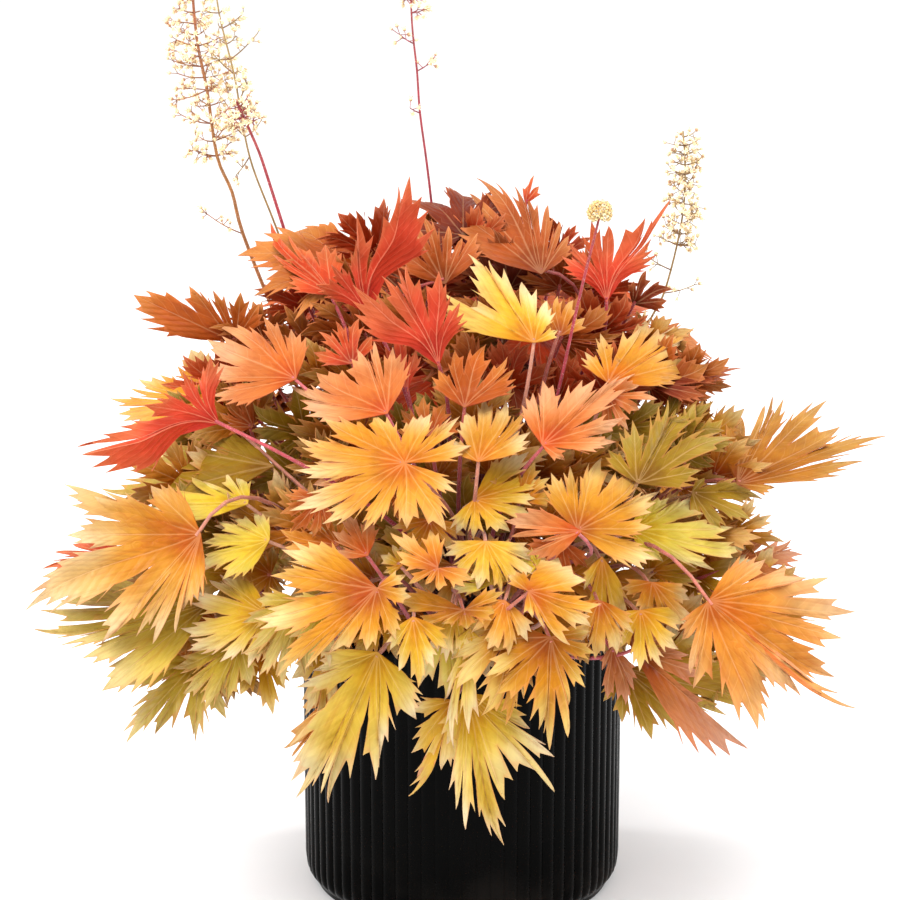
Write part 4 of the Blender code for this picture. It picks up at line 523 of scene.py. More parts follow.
class Leaf:
    """A blade in its own flat frame, and the bend that carries it out of that frame."""

    def __init__(self, name, base, axis, side, lobes, bend, tone, under=False, via=None, filler=False,
                 seed=0):
        self.name, self.base, self.axis, self.side = name, base, axis, side
        self.bend, self.tone, self.under, self.via = bend, tone, under, via
        self.filler, self.shade = filler, 1.0
        self.lobes = sorted_lobes(lobes)
        self.length = max(length for _, length in self.lobes)
        self.middle = (self.lobes[0][0] + self.lobes[-1][0]) / 2
        self.chance = random.Random(seed)
        self.droop = self.chance.uniform(*DROOP)
        self.wave = self.chance.uniform(*WAVE)
        self.phase = self.chance.uniform(0, math.tau)
        self.waves = self.chance.choice((2, 3))

    def point(self, angle, reach):
        """The blade's middle surface at an angle and a distance from the base."""
        share = reach / self.length
        lift = -self.droop * share * share
        lift += self.wave * share * share * math.sin(self.waves * angle + self.phase)
        flat = self.axis * (reach * math.cos(angle)) + self.side * (reach * math.sin(angle))
        return self.base + flat + self.bend * (lift * self.length)


def photographed_leaf(seed, name, spot, step, tone, tips, lean=None, via=None, under=False):
    """A leaf whose base and tips lie where the photograph shows them."""
    base = on_mound(*spot, step * LAYER_STEP - 22 * MM)
    tips = list(zip(tips[::2], tips[1::2]))
    lean = lean or mound_lean(base, tips)
    normal = (-lean[0] * RIGHT - lean[1] * UP + TOWARD).normalized()
    rays = []
    for px, py in tips:
        depth = base.dot(TOWARD)
        for _ in range(5):
            dx, dy, _ = in_view(unproject(px, py, depth) - base)
            depth = base.dot(TOWARD) + lean[0] * dx + lean[1] * dy
        rays.append(unproject(px, py, depth) - base)
    axis = sum((ray.normalized() for ray in rays), Vector((0, 0, 0))).normalized()
    axis = (axis - normal * axis.dot(normal)).normalized()
    side = normal.cross(axis)
    lobes = [(math.atan2(ray.dot(side), ray.dot(axis)), ray.length) for ray in rays]
    return Leaf(name, base, axis, side, lobes, -TOWARD if under else TOWARD, tone, under, via, seed=seed)


def ruled_leaves(rings, seed):
    """The leaves of the sides, the back and the inside, ring by ring."""
    made = []
    for ring, (name, count, height, away, size, tilted, start, end, tones) in enumerate(rings):
        chance = random.Random(seed + ring)
        tones = tones.split()
        for k in range(count):
            share = (k + 0.5) / count
            turn = math.radians(start + (end - start) * share + chance.uniform(-5, 5))
            out = Vector((math.cos(turn), math.sin(turn), 0))
            tilt = math.radians(tilted + chance.uniform(-10, 10))
            axis = out * math.cos(tilt) + Vector((0, 0, math.sin(tilt)))
            base = out * (away * MM + chance.uniform(-10, 10) * MM)
            base.z = height * MM + chance.uniform(-12, 12) * MM
            upright = (Vector((0, 0, 1)) - axis * axis.z).normalized()
            roll = math.radians(chance.uniform(-16, 16))
            side = upright.cross(axis) * math.cos(roll) + upright * math.sin(roll)
            length = size * MM * chance.uniform(0.88, 1.1)
            lobes = []
            for angle, part in zip(PALM_ANGLES, PALM_LENGTHS):
                lobe_angle = math.radians(angle) * chance.uniform(0.94, 1.06)
                lobes.append((lobe_angle, length * part * chance.uniform(0.92, 1.06)))
            made.append(Leaf(f"{name}_{k + 1:02d}", base, axis, side, lobes, axis.cross(side).normalized(),
                             tones[k % len(tones)], filler=True, seed=300 + 20 * ring + k))
    return made


def inner_leaves():
    """More leaves behind the photographed ones, on a loose grid over the picture of the plant."""
    chance = random.Random(INNER_SEED)
    made = []
    rows, reaches = zip(*INNER_REACH)
    for py in range(rows[0], rows[-1] + 1, INNER_STEP_PX):
        height = (py - rows[0]) / (rows[-1] - rows[0])
        reach = float(np.interp(py, rows, reaches))
        count = max(2, round(2 * reach / INNER_STEP_PX))
        for k in range(count):
            px = POT_AXIS_PX + reach * (2 * (k + 0.5) / count - 1) + chance.uniform(-12, 12)
            base = (px, py + chance.uniform(-12, 12))
            turn = math.atan2(INNER_MIDDLE_PY - py, px - POT_AXIS_PX) + chance.uniform(-0.6, 0.6)
            size = chance.uniform(*INNER_SIZE)
            tips = []
            for angle, part in zip(PALM_ANGLES, PALM_LENGTHS):
                lobe = turn + math.radians(angle) * chance.uniform(0.85, 1.0)
                length = size * part * chance.uniform(0.9, 1.1)
                tips += [base[0] + length * math.cos(lobe), base[1] - 0.8 * length * math.sin(lobe)]
            tone = chance.choice(INNER_TONES[min(len(INNER_TONES) - 1, int(height * len(INNER_TONES)))])
            step = chance.uniform(-3.2, -0.6)
            if py < INNER_LOW_PY or abs(px - POT_AXIS_PX) > INNER_LOW_REACH:
                name = f"inner_{len(made) + 1:02d}"
                leaf = photographed_leaf(900 + len(made), name, base, step, tone, tips)
                # painted shade: this inner leaf's colour is darkened for its place deep in the mound
                leaf.shade = INNER_PAINTED_SHADE
                made.append(leaf)
    return made


def bezier(a, b, c, d, steps):
    """Points of a smooth curve from a to d."""
    spots = []
    for k in range(steps + 1):
        t = k / steps
        s = 1 - t
        spots.append(a * s ** 3 + b * (3 * s * s * t) + c * (3 * s * t * t) + d * t ** 3)
    return spots


def direction(turn, rise):
    """The direction at a turn about Z and a rise above level, in degrees."""
    turn, rise = math.radians(turn), math.radians(rise)
    return Vector((math.cos(turn) * math.cos(rise), math.sin(turn) * math.cos(rise), math.sin(rise)))


def stalk_route(leaf, foot_direction, sway, lift, late):
    """A stalk's smooth line from the crown to the blade."""
    foot = CROWN_CENTRE + foot_direction * (CROWN_RADIUS + FOOT_GAP)
    start, end = leaf.point(0, 0), leaf.point(leaf.middle, 3 * MM)
    inward = (leaf.point(leaf.middle, 0) - leaf.point(leaf.middle, leaf.length * 0.4)).normalized()
    away = start - foot
    span = away.length
    arrive = (inward - away.normalized() * 0.9 - Vector((0, 0, 0.25))).normalized()
    if leaf.via:
        arrive = (unproject(*leaf.via, start.dot(TOWARD) - 9 * MM) - start).normalized()
    up = Vector((0, 0, 1))
    across = up.cross(away).normalized()
    rim_rise = up * max(0.0, (POT_HEIGHT + 30 * MM - start.z)) * 0.9
    near_foot = foot + foot_direction * span * 0.36 + across * span * sway * 0.6 + rim_rise
    near_blade = start + arrive * span * late + across * span * sway + rim_rise * 0.5
    return bezier(foot, near_foot, near_blade + up * span * lift, end, STALK_STEPS)


def lobe_edge(free, width, deep, chance):
    """(share of the half width, share of the free length) down one side of a lobe, tip first."""
    marks = [(0.0, 1.0)]
    for row in TEETH[min(len(TEETH) - 1, int(width / TOOTH_WIDTH))]:
        for (at, out), low in zip((row[:2], row[2:]), (-0.04, -0.03)):
            marks.append((at + chance.uniform(low, 0.03), out + chance.uniform(-0.07, 0.05)))
    if len(marks) > 1:
        marks.append((0.78 if deep else 0.88, 0.30))
    marks.append((1.0, 0.0))
    rows = [marks[0]]
    for (at, out), (next_at, next_out) in zip(marks, marks[1:]):
        rising = next_out > out
        steps = max(2, math.ceil(abs(next_out - out) * free / EDGE_STEP))
        swell = 0.6 if next_out == 0.0 else 1.0 if rising else 1.12
        for k in range(1, steps + 1):
            t = k / steps
            rows.append((at + (next_at - at) * t ** swell,
                         out + (next_out - out) * (t ** 1.5 if rising else t)))
    return rows


class Cut:
    """The cut of one blade: its outline, its lobes' sectors and its veins, in the flat frame."""

    def __init__(self, leaf, chance):
        lobes = leaf.lobes
        open_angle = math.tau - (lobes[-1][0] - lobes[0][0])
        end = min(OUTER_HALF, open_angle * 0.3)
        self.angles = np.array([angle for angle, _ in lobes])
        self.lengths = np.array([length for _, length in lobes])
        self.borders = [lobes[0][0] - end]
        self.slits = [lobes[0][1] * OUTER_SLIT]
        self.deep = [False]
        together = 1
        for (angle, length), (next_angle, next_length) in zip(lobes, lobes[1:]):
            gap = next_angle - angle
            deep = gap > DEEP_GAP or together >= 3 or (together == 2 and chance.random() < 0.6)
            share = chance.uniform(*DEEP_SLIT) if deep else chance.uniform(*SHALLOW_SLIT)
            together = 1 if deep else together + 1
            self.deep.append(deep)
            self.borders.append((angle + next_angle) / 2 + chance.uniform(-0.1, 0.1) * gap)
            self.slits.append(share * min(length, next_length))
        self.borders.append(lobes[-1][0] + end)
        self.slits.append(lobes[-1][1] * OUTER_SLIT)
        self.deep.append(False)
        self.rim = [(self.borders[0], self.slits[0])]
        for k, (angle, length) in enumerate(lobes):
            for border, slit, first in ((k, self.slits[k], True), (k + 1, self.slits[k + 1], False)):
                half = abs(self.borders[border] - angle)
                edge = lobe_edge(length - slit, half * 0.75 * length, self.deep[border], chance)
                sign = -1 if first else 1
                spots = [(angle + sign * half * at, slit + (length - slit) * out) for at, out in edge]
                self.rim += spots[-2::-1] if first else spots[1:]
        self.sway, self.hang, self.twist, self.blush = (
            np.array([chance.uniform(*limits) for _ in lobes]) for limits in (SWAY, HANG, TWIST, BLUSH))
        self.sway[0] = self.sway[-1] = 0


def flat(angle, reach):
    """Points in a blade's plane from their angles and distances."""
    return np.stack([reach * np.cos(angle), reach * np.sin(angle)], axis=-1)


def spaced(angle, reach, start, spacing):
    """Points along a straight vein, from start out to just before its end."""
    count = max(2, int((reach - start) / spacing))
    return flat(np.full(count, angle), np.linspace(start, reach, count + 1)[:-1])


def within(spots, outline):
    """Which spots lie inside a closed outline."""
    inside = np.zeros(len(spots), dtype=bool)
    for (ax, ay), (bx, by) in zip(outline, np.roll(outline, -1, axis=0)):
        if ay != by:
            crosses = (ay > spots[:, 1]) != (by > spots[:, 1])
            inside ^= crosses & (spots[:, 0] < ax + (spots[:, 1] - ay) * (bx - ax) / (by - ay))
    return inside


def blade_mesh(leaf, spacing):
    """Flat points in millimetres and triangles of a blade, with its veins as edges."""
    cut = Cut(leaf, leaf.chance)
    rim_angle = np.array([angle for angle, _ in cut.rim])
    rim_reach = np.array([reach for _, reach in cut.rim]) / MM
    rim = flat(rim_angle, rim_reach)
    points = [np.zeros((1, 2)), rim]
    polygon = list(range(len(rim) + 1))
    edges = []
    count = len(rim) + 1
    start = min(8.0, 0.16 * leaf.length / MM)

    def line(spots, last):
        nonlocal count
        chain = [0] + list(range(count, count + len(spots))) + [last]
        edges.extend(zip(chain, chain[1:]))
        points.append(spots)
        count += len(spots)

    for angle, length in zip(cut.angles, cut.lengths):
        tip = 1 + int(np.argmin(np.abs(rim_angle - angle) + np.abs(rim_reach - length / MM)))
        line(spaced(angle, length / MM, start, spacing), tip)
    for border, slit in zip(cut.borders[1:-1], cut.slits[1:-1]):
        low = 1 + int(np.argmin(np.abs(rim_angle - border) * 50 + np.abs(rim_reach - slit / MM)))
        line(spaced(border, slit / MM, start, spacing), low)
    fixed = np.concatenate(points)
    largest = cut.lengths.max() / MM
    rows = np.arange(-largest, largest, spacing * 0.866)
    inner = []
    for k, y in enumerate(rows):
        xs = np.arange(-largest + (k % 2) * spacing / 2, largest, spacing)
        inner.append(np.stack([xs, np.full(len(xs), y)], axis=-1))
    inner = np.concatenate(inner)
    theta = np.arctan2(inner[:, 1], inner[:, 0])
    theta = cut.borders[0] + np.mod(theta - cut.borders[0], math.tau)
    reach = np.hypot(inner[:, 0], inner[:, 1])
    inside = (theta < cut.borders[-1]) & within(inner, np.concatenate([points[0], rim])) & (reach > start)
    inner = inner[inside]
    nearest = np.sqrt(((inner[:, None, :] - fixed[None, :, :]) ** 2).sum(axis=2)).min(axis=1)
    inner = inner[nearest > spacing * 0.5]
    everything = np.concatenate([fixed, inner])
    spots, _, faces, *_ = geometry.delaunay_2d_cdt(
        [Vector(spot) for spot in everything], edges, [polygon], 1, 1e-4)
    spots = np.array([(spot.x, spot.y) for spot in spots])
    faces = np.array([face for face in faces if len(face) == 3])
    return cut, rim, spots, faces


def smooth(low, high, value):
    t = np.clip((value - low) / (high - low), 0, 1)
    return t * t * (3 - 2 * t)


def noise_at(spots, scale, seed):
    """Gentle noise of about -1 to 1 at points given in millimetres."""
    return np.array([noise.noise(Vector((x / scale, y / scale, seed))) for x, y in spots])


def tone_colours(codes, share):
    """Colours from the centre by way of the middle to the tips."""
    centre, middle, tip = (srgb(code) for code in codes)
    inner, outer = smooth(0.0, 0.55, share)[:, None], smooth(0.5, 1.0, share)[:, None]
    return (centre * (1 - inner) + middle * inner) * (1 - outer) + tip * outer


def thickened(middle, faces):
    """A closed shell round a curved sheet: its points above and below, and all its triangles."""
    corners = middle[faces]
    face_normals = np.cross(corners[:, 1] - corners[:, 0], corners[:, 2] - corners[:, 0])
    normals = np.zeros_like(middle)
    for k in range(3):
        np.add.at(normals, faces[:, k], face_normals)
    normals /= np.maximum(np.linalg.norm(normals, axis=1, keepdims=True), 1e-12)
    count = len(middle)
    top = middle + normals * BLADE_THICKNESS / 2
    bottom = middle - normals * BLADE_THICKNESS / 2
    pairs = {}
    for a, b, c in faces.tolist():
        for pair in ((a, b), (b, c), (c, a)):
            pairs[pair] = True
    walls = []
    for a, b in pairs:
        if (b, a) not in pairs:
            walls += [(a, a + count, b + count), (a, b + count, b)]
    return np.concatenate([top, bottom]), np.concatenate([faces, faces[:, ::-1] + count, np.array(walls)])


def blade(leaf, spacing):
    """A finished blade: points, triangles and what its material reads at each point."""
    cut, rim, spots, faces = blade_mesh(leaf, spacing)
    length = leaf.length / MM
    reach = np.hypot(spots[:, 0], spots[:, 1])
    theta = np.arctan2(spots[:, 1], spots[:, 0])
    theta = cut.borders[0] - 0.01 + np.mod(theta - cut.borders[0] + 0.01, math.tau)
    theta[reach < 1e-3] = leaf.middle
    borders, slits = np.array(cut.borders), np.array(cut.slits) / MM
    lobe = np.clip(np.searchsorted(borders[1:-1], theta), 0, len(cut.angles) - 1)
    off = theta - cut.angles[lobe]
    half = np.where(off < 0, cut.angles[lobe] - borders[lobe], borders[lobe + 1] - cut.angles[lobe])
    aside = np.clip(np.abs(off) / half, 0, 1)
    share = reach / length
    own_length = np.interp(theta, cut.angles, cut.lengths) / MM
    edge = np.sqrt(((spots[:, None, :] - rim[None, :, :]) ** 2).sum(axis=2)).min(axis=1)
    seed = leaf.chance.uniform(0, 100)
    rough, fine = noise_at(spots, ROUGH[0], seed), noise_at(spots, FINE[0], seed + 7)

    lift = -leaf.droop * share ** 2 + leaf.wave * share ** 2 * np.sin(leaf.waves * theta + leaf.phase)
    lift = lift * length
    lift += FOLD * reach * np.sin(half) * (2 * aside - aside ** 2) * (1 - 0.45 * share)
    lift += np.interp(theta, cut.angles, cut.hang) * share ** 2.4 * length
    slit = np.where(off < 0, slits[lobe], slits[lobe + 1])
    lift += cut.twist[lobe] * off * reach * smooth(slit, slit * 0.4 + own_length * 0.6, reach)
    lift -= CURL * np.clip(reach / own_length - CURL_FROM, 0, 1) ** 2 * length
    lift += rough * ROUGH[1] * np.minimum(1, share * 3) + fine * FINE[1] * smooth(8, 0, edge)
    fan = theta + np.interp(theta, cut.angles, cut.sway) * 4 * share * (1 - np.minimum(share, 1))
    if leaf.under:
        fan = leaf.middle + (fan - leaf.middle) * (0.45 + 0.55 * smooth(0.0, 0.6, share))
        lift += 0.5 * (1 - np.cos(theta - leaf.middle)) * reach * (1 - smooth(0.1, 0.8, share))
    plane = flat(fan, reach)
    base, axis, side, bend = (np.array(vector) for vector in (leaf.base, leaf.axis, leaf.side, leaf.bend))
    middle = base + (plane[:, :1] * axis + plane[:, 1:] * side + lift[:, None] * bend) * MM
    points, triangles = thickened(middle, faces)

    blush = reach / own_length + 0.22 * rough + np.interp(theta, cut.angles, cut.blush) * share
    count = len(middle)
    shade = np.stack([np.full(count, BLADE_SHADE[0]), np.full(count, BLADE_SHADE[1]),
                      np.interp(blush, [0.2, 1.0], BLUE_SHADE)], axis=-1)
    upper = tone_colours(TONES[leaf.tone], blush) * shade
    mixed = UNDER_SHARE[leaf.under]
    lower = (1 - mixed) * upper + mixed * (tone_colours(UNDERSIDE, blush) * UNDER_SHADE)
    front, back = (lower, upper) if leaf.under else (upper, lower)
    # leaf.shade is painted shade: below 1 only for the inner leaves, darkening their colour for their place
    # deep in the mound
    tint = np.concatenate([front, back]) * leaf.chance.uniform(0.93, 1.05) * leaf.shade
    once = (reach * np.cos(off), reach * np.abs(np.sin(off)), edge, reach / own_length)
    values = {name: np.concatenate([value, value]) for name, value in zip(READ, once)}
    facing = 1.0 if leaf.under else 0.0
    values["under"] = np.concatenate([np.full(count, facing), np.full(count, 1 - facing)])
    return points, triangles, values, tint


def strip(start, sides):
    """The faces between a ring of points that begins at start and the ring that follows it."""
    return [(start + k, start + (k + 1) % sides, start + (k + 1) % sides + sides, start + k + sides)
            for k in range(sides)]


def halves(quads):
    """Each quad as two triangles."""
    return [corner for a, b, c, d in quads for corner in ((a, b, c), (a, c, d))]


def tube(route, radii, sides, tint):
    """A round stalk along a route with closed ends, and what its material reads at each point."""
    points, faces, along, colours = [], [], [], []
    across = (route[1] - route[0]).orthogonal().normalized()
    gone = 0.0
    for k, (spot, radius) in enumerate(zip(route, radii)):
        ahead = (route[min(k + 1, len(route) - 1)] - route[max(k - 1, 0)]).normalized()
        across = (across - ahead * across.dot(ahead)).normalized()
        other = ahead.cross(across)
        gone += (spot - route[k - 1]).length if k else 0.0
        for turn in range(sides):
            angle = math.tau * turn / sides
            points.append(spot + (across * math.cos(angle) + other * math.sin(angle)) * radius)
            along.append(gone / MM)
            colours.append(tint(k / (len(route) - 1)))
        if k:
            faces += halves(strip((k - 1) * sides, sides))
    for ring, centre, turned in ((0, route[0], True), (len(route) - 1, route[-1], False)):
        middle = len(points)
        points.append(centre)
        along.append(along[ring * sides])
        colours.append(colours[ring * sides])
        for turn in range(sides):
            a, b = ring * sides + turn, ring * sides + (turn + 1) % sides
            faces.append((middle, b, a) if turned else (middle, a, b))
    values = {key: np.full(len(points), number) for key, number in zip(READ, (0.0, 5.0, 5.0, 0.5, 0.0))}
    values["along"] = np.array(along)
    return np.array(points), np.array(faces), values, np.array(colours)


def blended(codes):
    """A tint that goes through a list of colours along a stalk."""
    colours = [srgb(code) * STALK_SHADE for code in codes]

    def tint(share):
        place = min(share * (len(colours) - 1), len(colours) - 1.0001)
        k = int(place)
        return colours[k] * (1 - (place - k)) + colours[k + 1] * (place - k)
    return tint


def piece(name, parts, materials, nodes):
    """One object from parts (points, faces, values, tint, material number), standing for CAD nodes."""
    points, faces, numbers, tints = [], [], [], []
    values = {key: [] for key in READ}
    count = 0
    for spots, triangles, read, tint, number in parts:
        points.append(spots)
        faces.append(triangles + count)
        numbers.append(np.full(len(triangles), number, dtype=np.int32))
        tints.append(tint)
        for key in values:
            values[key].append(read[key])
        count += len(spots)
    points, faces, numbers = np.concatenate(points), np.concatenate(faces), np.concatenate(numbers)
    mesh = bpy.data.meshes.new(name)
    mesh.vertices.add(len(points))
    mesh.vertices.foreach_set("co", points.astype(np.float32).ravel())
    mesh.loops.add(faces.size)
    mesh.loops.foreach_set("vertex_index", faces.astype(np.int32).ravel())
    mesh.polygons.add(len(faces))
    mesh.polygons.foreach_set("loop_start", np.arange(0, faces.size, 3, dtype=np.int32))
    for made in materials:
        mesh.materials.append(made)
    mesh.polygons.foreach_set("material_index", numbers)
    for key, read in values.items():
        layer = mesh.attributes.new(key, "FLOAT", "POINT")
        layer.data.foreach_set("value", np.concatenate(read).astype(np.float32))
    layer = mesh.attributes.new("tint", "FLOAT_VECTOR", "POINT")
    layer.data.foreach_set("vector", np.concatenate(tints).astype(np.float32).ravel())
    mesh.update(calc_edges=True)
    mesh.validate()
    mesh.shade_smooth()
    mesh.set_sharp_from_angle(angle=math.radians(55))
    made = bpy.data.objects.new(name, mesh)
    bpy.context.scene.collection.objects.link(made)
    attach(made, "root")
    if nodes:
        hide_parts(*nodes)
    return made


class Graph:
    """A material's node tree, put together by short calls."""

    def __init__(self, name):
        self.material = bpy.data.materials.new(name)
        self.material.use_nodes = True
        self.tree = self.material.node_tree
        self.shader = self.tree.nodes["Principled BSDF"]

    def feed(self, socket, value):
        if hasattr(value, "links"):
            self.tree.links.new(value, socket)
        else:
            socket.default_value = value

    def made(self, kind, inputs, **settings):
        """A new node with its settings, and its inputs by number or name."""
        node = self.tree.nodes.new(f"ShaderNode{kind}")
        for name, value in settings.items():
            setattr(node, name, value)
        for key, value in (inputs.items() if isinstance(inputs, dict) else enumerate(inputs)):
            self.feed(node.inputs[key], value)
        return node

    def math(self, operation, *values):
        return self.made("Math", values, operation=operation).outputs[0]

    def times(self, one, other):
        return self.math("MULTIPLY", one, other)

    def range(self, value, low, high, to_low=0.0, to_high=1.0):
        """A smooth step from to_low to to_high while a value goes from low to high."""
        inputs = {"Value": value, "From Min": low, "From Max": high, "To Min": to_low, "To Max": to_high}
        return self.made("MapRange", inputs, interpolation_type="SMOOTHSTEP").outputs["Result"]

    def mix(self, factor, one, other, blend="MIX"):
        node = self.made("Mix", (), data_type="RGBA", blend_type=blend)
        for key, value in (("Factor", factor), (6, one), (7, other)):
            self.feed(node.inputs[key], value)
        return node.outputs[2]

    def shaded(self, tint, factor):
        """A tint made lighter or darker by a factor."""
        return self.mix(1.0, tint, self.vector(factor, factor, factor), "MULTIPLY")

    def attribute(self, name, output="Fac"):
        return self.made("Attribute", (), attribute_name=name).outputs[output]

    def place(self):
        return self.made("TexCoord", ()).outputs["Object"]

    def vector(self, x, y, z=0.0):
        return self.made("CombineXYZ", (x, y, z)).outputs[0]

    def noise(self, vector, scale, detail=3.0, roughness=0.5):
        inputs = {"Vector": vector, "Scale": scale, "Detail": detail, "Roughness": roughness}
        return self.made("TexNoise", inputs).outputs["Fac"]

    def cells(self, vector, scale):
        node = self.made("TexVoronoi", (), feature="SMOOTH_F1")
        for key, value in (("Smoothness", 0.6), ("Vector", vector), ("Scale", scale)):
            self.feed(node.inputs[key], value)
        return node.outputs["Distance"]

    def bump(self, height, distance, strength=1.0):
        inputs = {"Height": height, "Distance": distance, "Strength": strength}
        return self.made("Bump", inputs).outputs["Normal"]

    def finish(self, colour, roughness, normal=None, **fixed):
        self.feed(self.shader.inputs["Base Color"], colour)
        self.feed(self.shader.inputs["Roughness"], roughness)
        if normal is not None:
            self.feed(self.shader.inputs["Normal"], normal)
        for name, value in fixed.items():
            self.shader.inputs[name.replace("_", " ")].default_value = value
        return self.material


def colour(code):
    """A colour socket's value from a code."""
    return (*srgb(code), 1.0)


def leaf_material():
    """Blades: tinted by place, with branching veins, quilting, mottling and a thin darker margin."""
    g = Graph("heuchera_blade")
    place = g.place()
    along, across = g.attribute("along"), g.attribute("across")
    reach, edge, under = g.attribute("reach"), g.attribute("edge"), g.attribute("under")
    patch = g.noise(place, 55.0, 2.0)
    speck = g.noise(place, 420.0, 2.0, 0.6)
    drift = g.math("MULTIPLY_ADD", g.noise(place, 130.0, 1.0), 4.0, -2.0)
    fibre = g.noise(g.vector(g.times(along, 0.05), across, g.times(edge, 0.05)), 0.7, 2.0, 0.6)
    vein_width = g.range(reach, 0.0, 1.0, 0.62, 0.22)
    vein = g.math("SUBTRACT", 1.0, g.range(across, g.times(vein_width, 0.3), vein_width))
    phase = g.math("SUBTRACT", along, g.times(across, 2.3))
    phase = g.math("DIVIDE", g.math("ADD", phase, drift), 8.5)
    off = g.math("ABSOLUTE", g.math("SUBTRACT", g.math("FRACT", phase), 0.5))
    branch = g.times(g.range(off, 0.43, 0.5), g.range(reach, 0.12, 0.4))
    fine_phase = g.math("FRACT", g.times(phase, 3.0))
    fine_branch = g.range(g.math("ABSOLUTE", g.math("SUBTRACT", fine_phase, 0.5)), 0.38, 0.5)
    lines = g.math("MAXIMUM", vein, g.times(branch, 0.40))
    lines = g.math("MAXIMUM", lines, g.times(fine_branch, 0.10))

    base = g.shaded(g.attribute("tint", "Vector"), g.range(patch, 0.25, 0.75, 0.86, 1.12))
    base = g.mix(g.range(fibre, 0.40, 0.75, 0.0, 0.34), base, colour("C9702E"), "MULTIPLY")
    base = g.mix(g.range(speck, 0.55, 0.85, 0.0, 0.16), base, colour("FFE9A8"), "SOFT_LIGHT")
    upper = g.mix(g.times(lines, g.range(reach, 0.1, 0.7, 0.10, 0.17)), base, colour("FFCE9A"))
    lower = g.mix(g.times(lines, 0.36), base, colour("F2A07C"))
    blade_colour = g.mix(g.range(edge, 0.1, 0.7, 0.22, 0.0), g.mix(under, upper, lower), colour("C8764C"))

    quilt = g.math("COSINE", g.times(off, math.tau))
    blister = g.cells(g.vector(g.times(along, 0.20), g.times(across, 0.34)), 1.0)
    height = g.math("MULTIPLY_ADD", quilt, 0.28, g.times(vein, -0.35))
    height = g.math("MULTIPLY_ADD", blister, -0.7, height)
    height = g.math("MULTIPLY_ADD", g.noise(place, 300.0, 1.0), 0.35, height)
    sign = g.math("MULTIPLY_ADD", under, -2.0, 1.0)
    normal = g.bump(g.times(height, sign), 0.55 * MM, 0.8)
    roughness = g.range(speck, 0.3, 0.8, 0.42, 0.62)
    return g.finish(blade_colour, roughness, normal, Specular_IOR_Level=0.12)


def stalk_material():
    """Hairy stalks: streaked along, with a soft sheen."""
    g = Graph("heuchera_stalk")
    place = g.place()
    streak = g.noise(place, 240.0, 3.0)
    hair = g.noise(place, 1500.0, 2.0)
    base = g.shaded(g.attribute("tint", "Vector"), g.range(streak, 0.3, 0.7, 0.8, 1.15))
    base = g.mix(g.range(hair, 0.55, 0.75, 0.0, 0.35), base, colour("F6D2BE"))
    return g.finish(base, g.range(hair, 0.3, 0.7, 0.45, 0.7), g.bump(hair, 0.25 * MM, 0.6),
                    Sheen_Weight=0.25, Sheen_Roughness=0.35)


def floret_material():
    """Small cream flowers on pinkish cups."""
    g = Graph("heuchera_floret")
    place = g.place()
    shade = g.noise(place, 700.0, 3.0)
    base = g.mix(g.range(shade, 0.3, 0.75, 0.0, 0.35), g.attribute("tint", "Vector"), colour("F6E6BC"))
    return g.finish(base, g.range(shade, 0.3, 0.7, 0.5, 0.7), g.bump(shade, 0.15 * MM, 0.5),
                    Sheen_Weight=0.1)


def pot_material():
    """Black moulded plastic with a faint grain and a little dust near the foot."""
    g = Graph("pot_black_plastic")
    place = g.place()
    grain = g.noise(place, 900.0, 3.0)
    cloud = g.noise(place, 30.0, 3.0)
    height = g.made("SeparateXYZ", (place,)).outputs["Z"]
    dust = g.times(g.range(height, 0.0, 0.05, 0.10, 0.0), g.range(cloud, 0.4, 0.8))
    base = g.mix(g.range(cloud, 0.3, 0.8), (0.0006, 0.0006, 0.0005, 1), (0.0014, 0.0013, 0.0012, 1))
    base = g.mix(dust, base, colour("5A5048"))
    roughness = g.range(g.math("ADD", g.times(grain, 0.5), g.times(cloud, 0.5)),
                        0.35, 0.7, 0.22, 0.32)
    return g.finish(base, roughness, g.bump(grain, 0.04 * MM, 0.2), Specular_IOR_Level=0.03)


def soil_material():
    """Crumbly potting mix with pale flecks."""
    g = Graph("potting_mix_fine")
    place = g.place()
    lump = g.noise(place, 220.0, 6.0, 0.7)
    fleck = g.noise(place, 520.0, 2.0)
    base = g.mix(g.range(lump, 0.3, 0.7), colour("2A1A12"), colour("59402C"))
    base = g.mix(g.range(fleck, 0.66, 0.72), base, colour("A08C72"))
    return g.finish(base, g.range(lump, 0.3, 0.7, 0.8, 1.0), g.bump(lump, 2.0 * MM, 0.9))


def bark_material():
    """The crown's ridged bark."""
    g = Graph("crown_bark_fine")
    place = g.place()
    ridge = g.noise(place, 160.0, 6.0, 0.65)
    base = g.mix(g.range(ridge, 0.3, 0.7), colour("3A1F18"), colour("8A5440"))
    return g.finish(base, g.range(ridge, 0.3, 0.7, 0.75, 0.95), g.bump(ridge, 1.5 * MM, 0.9))


def floor_material():
    """The plain pale floor, with the faintest mottling."""
    g = Graph("studio_floor")
    place = g.place()
    tone = g.noise(place, 8.0, 3.0)
    base = g.mix(g.range(tone, 0.3, 0.7), (0.90, 0.90, 0.90, 1), (0.93, 0.93, 0.93, 1))
    return g.finish(base, g.range(tone, 0.3, 0.7, 0.7, 0.8), g.bump(tone, 0.1 * MM, 0.2),
                    Specular_IOR_Level=0.1)


def smooth_route(route, steps):
    """A rounded line through the points of a route."""
    spots = []
    for k in range(len(route) - 1):
        before = route[max(k - 1, 0)]
        one, other = route[k], route[k + 1]
        after = route[min(k + 2, len(route) - 1)]
        for step in range(steps):
            t = step / steps
            spots.append(0.5 * ((2 * one) + (other - before) * t
                                + (2 * before - 5 * one + 4 * other - after) * t * t
                                + (3 * one - before - 3 * other + after) * t ** 3))
    return spots + [route[-1]]


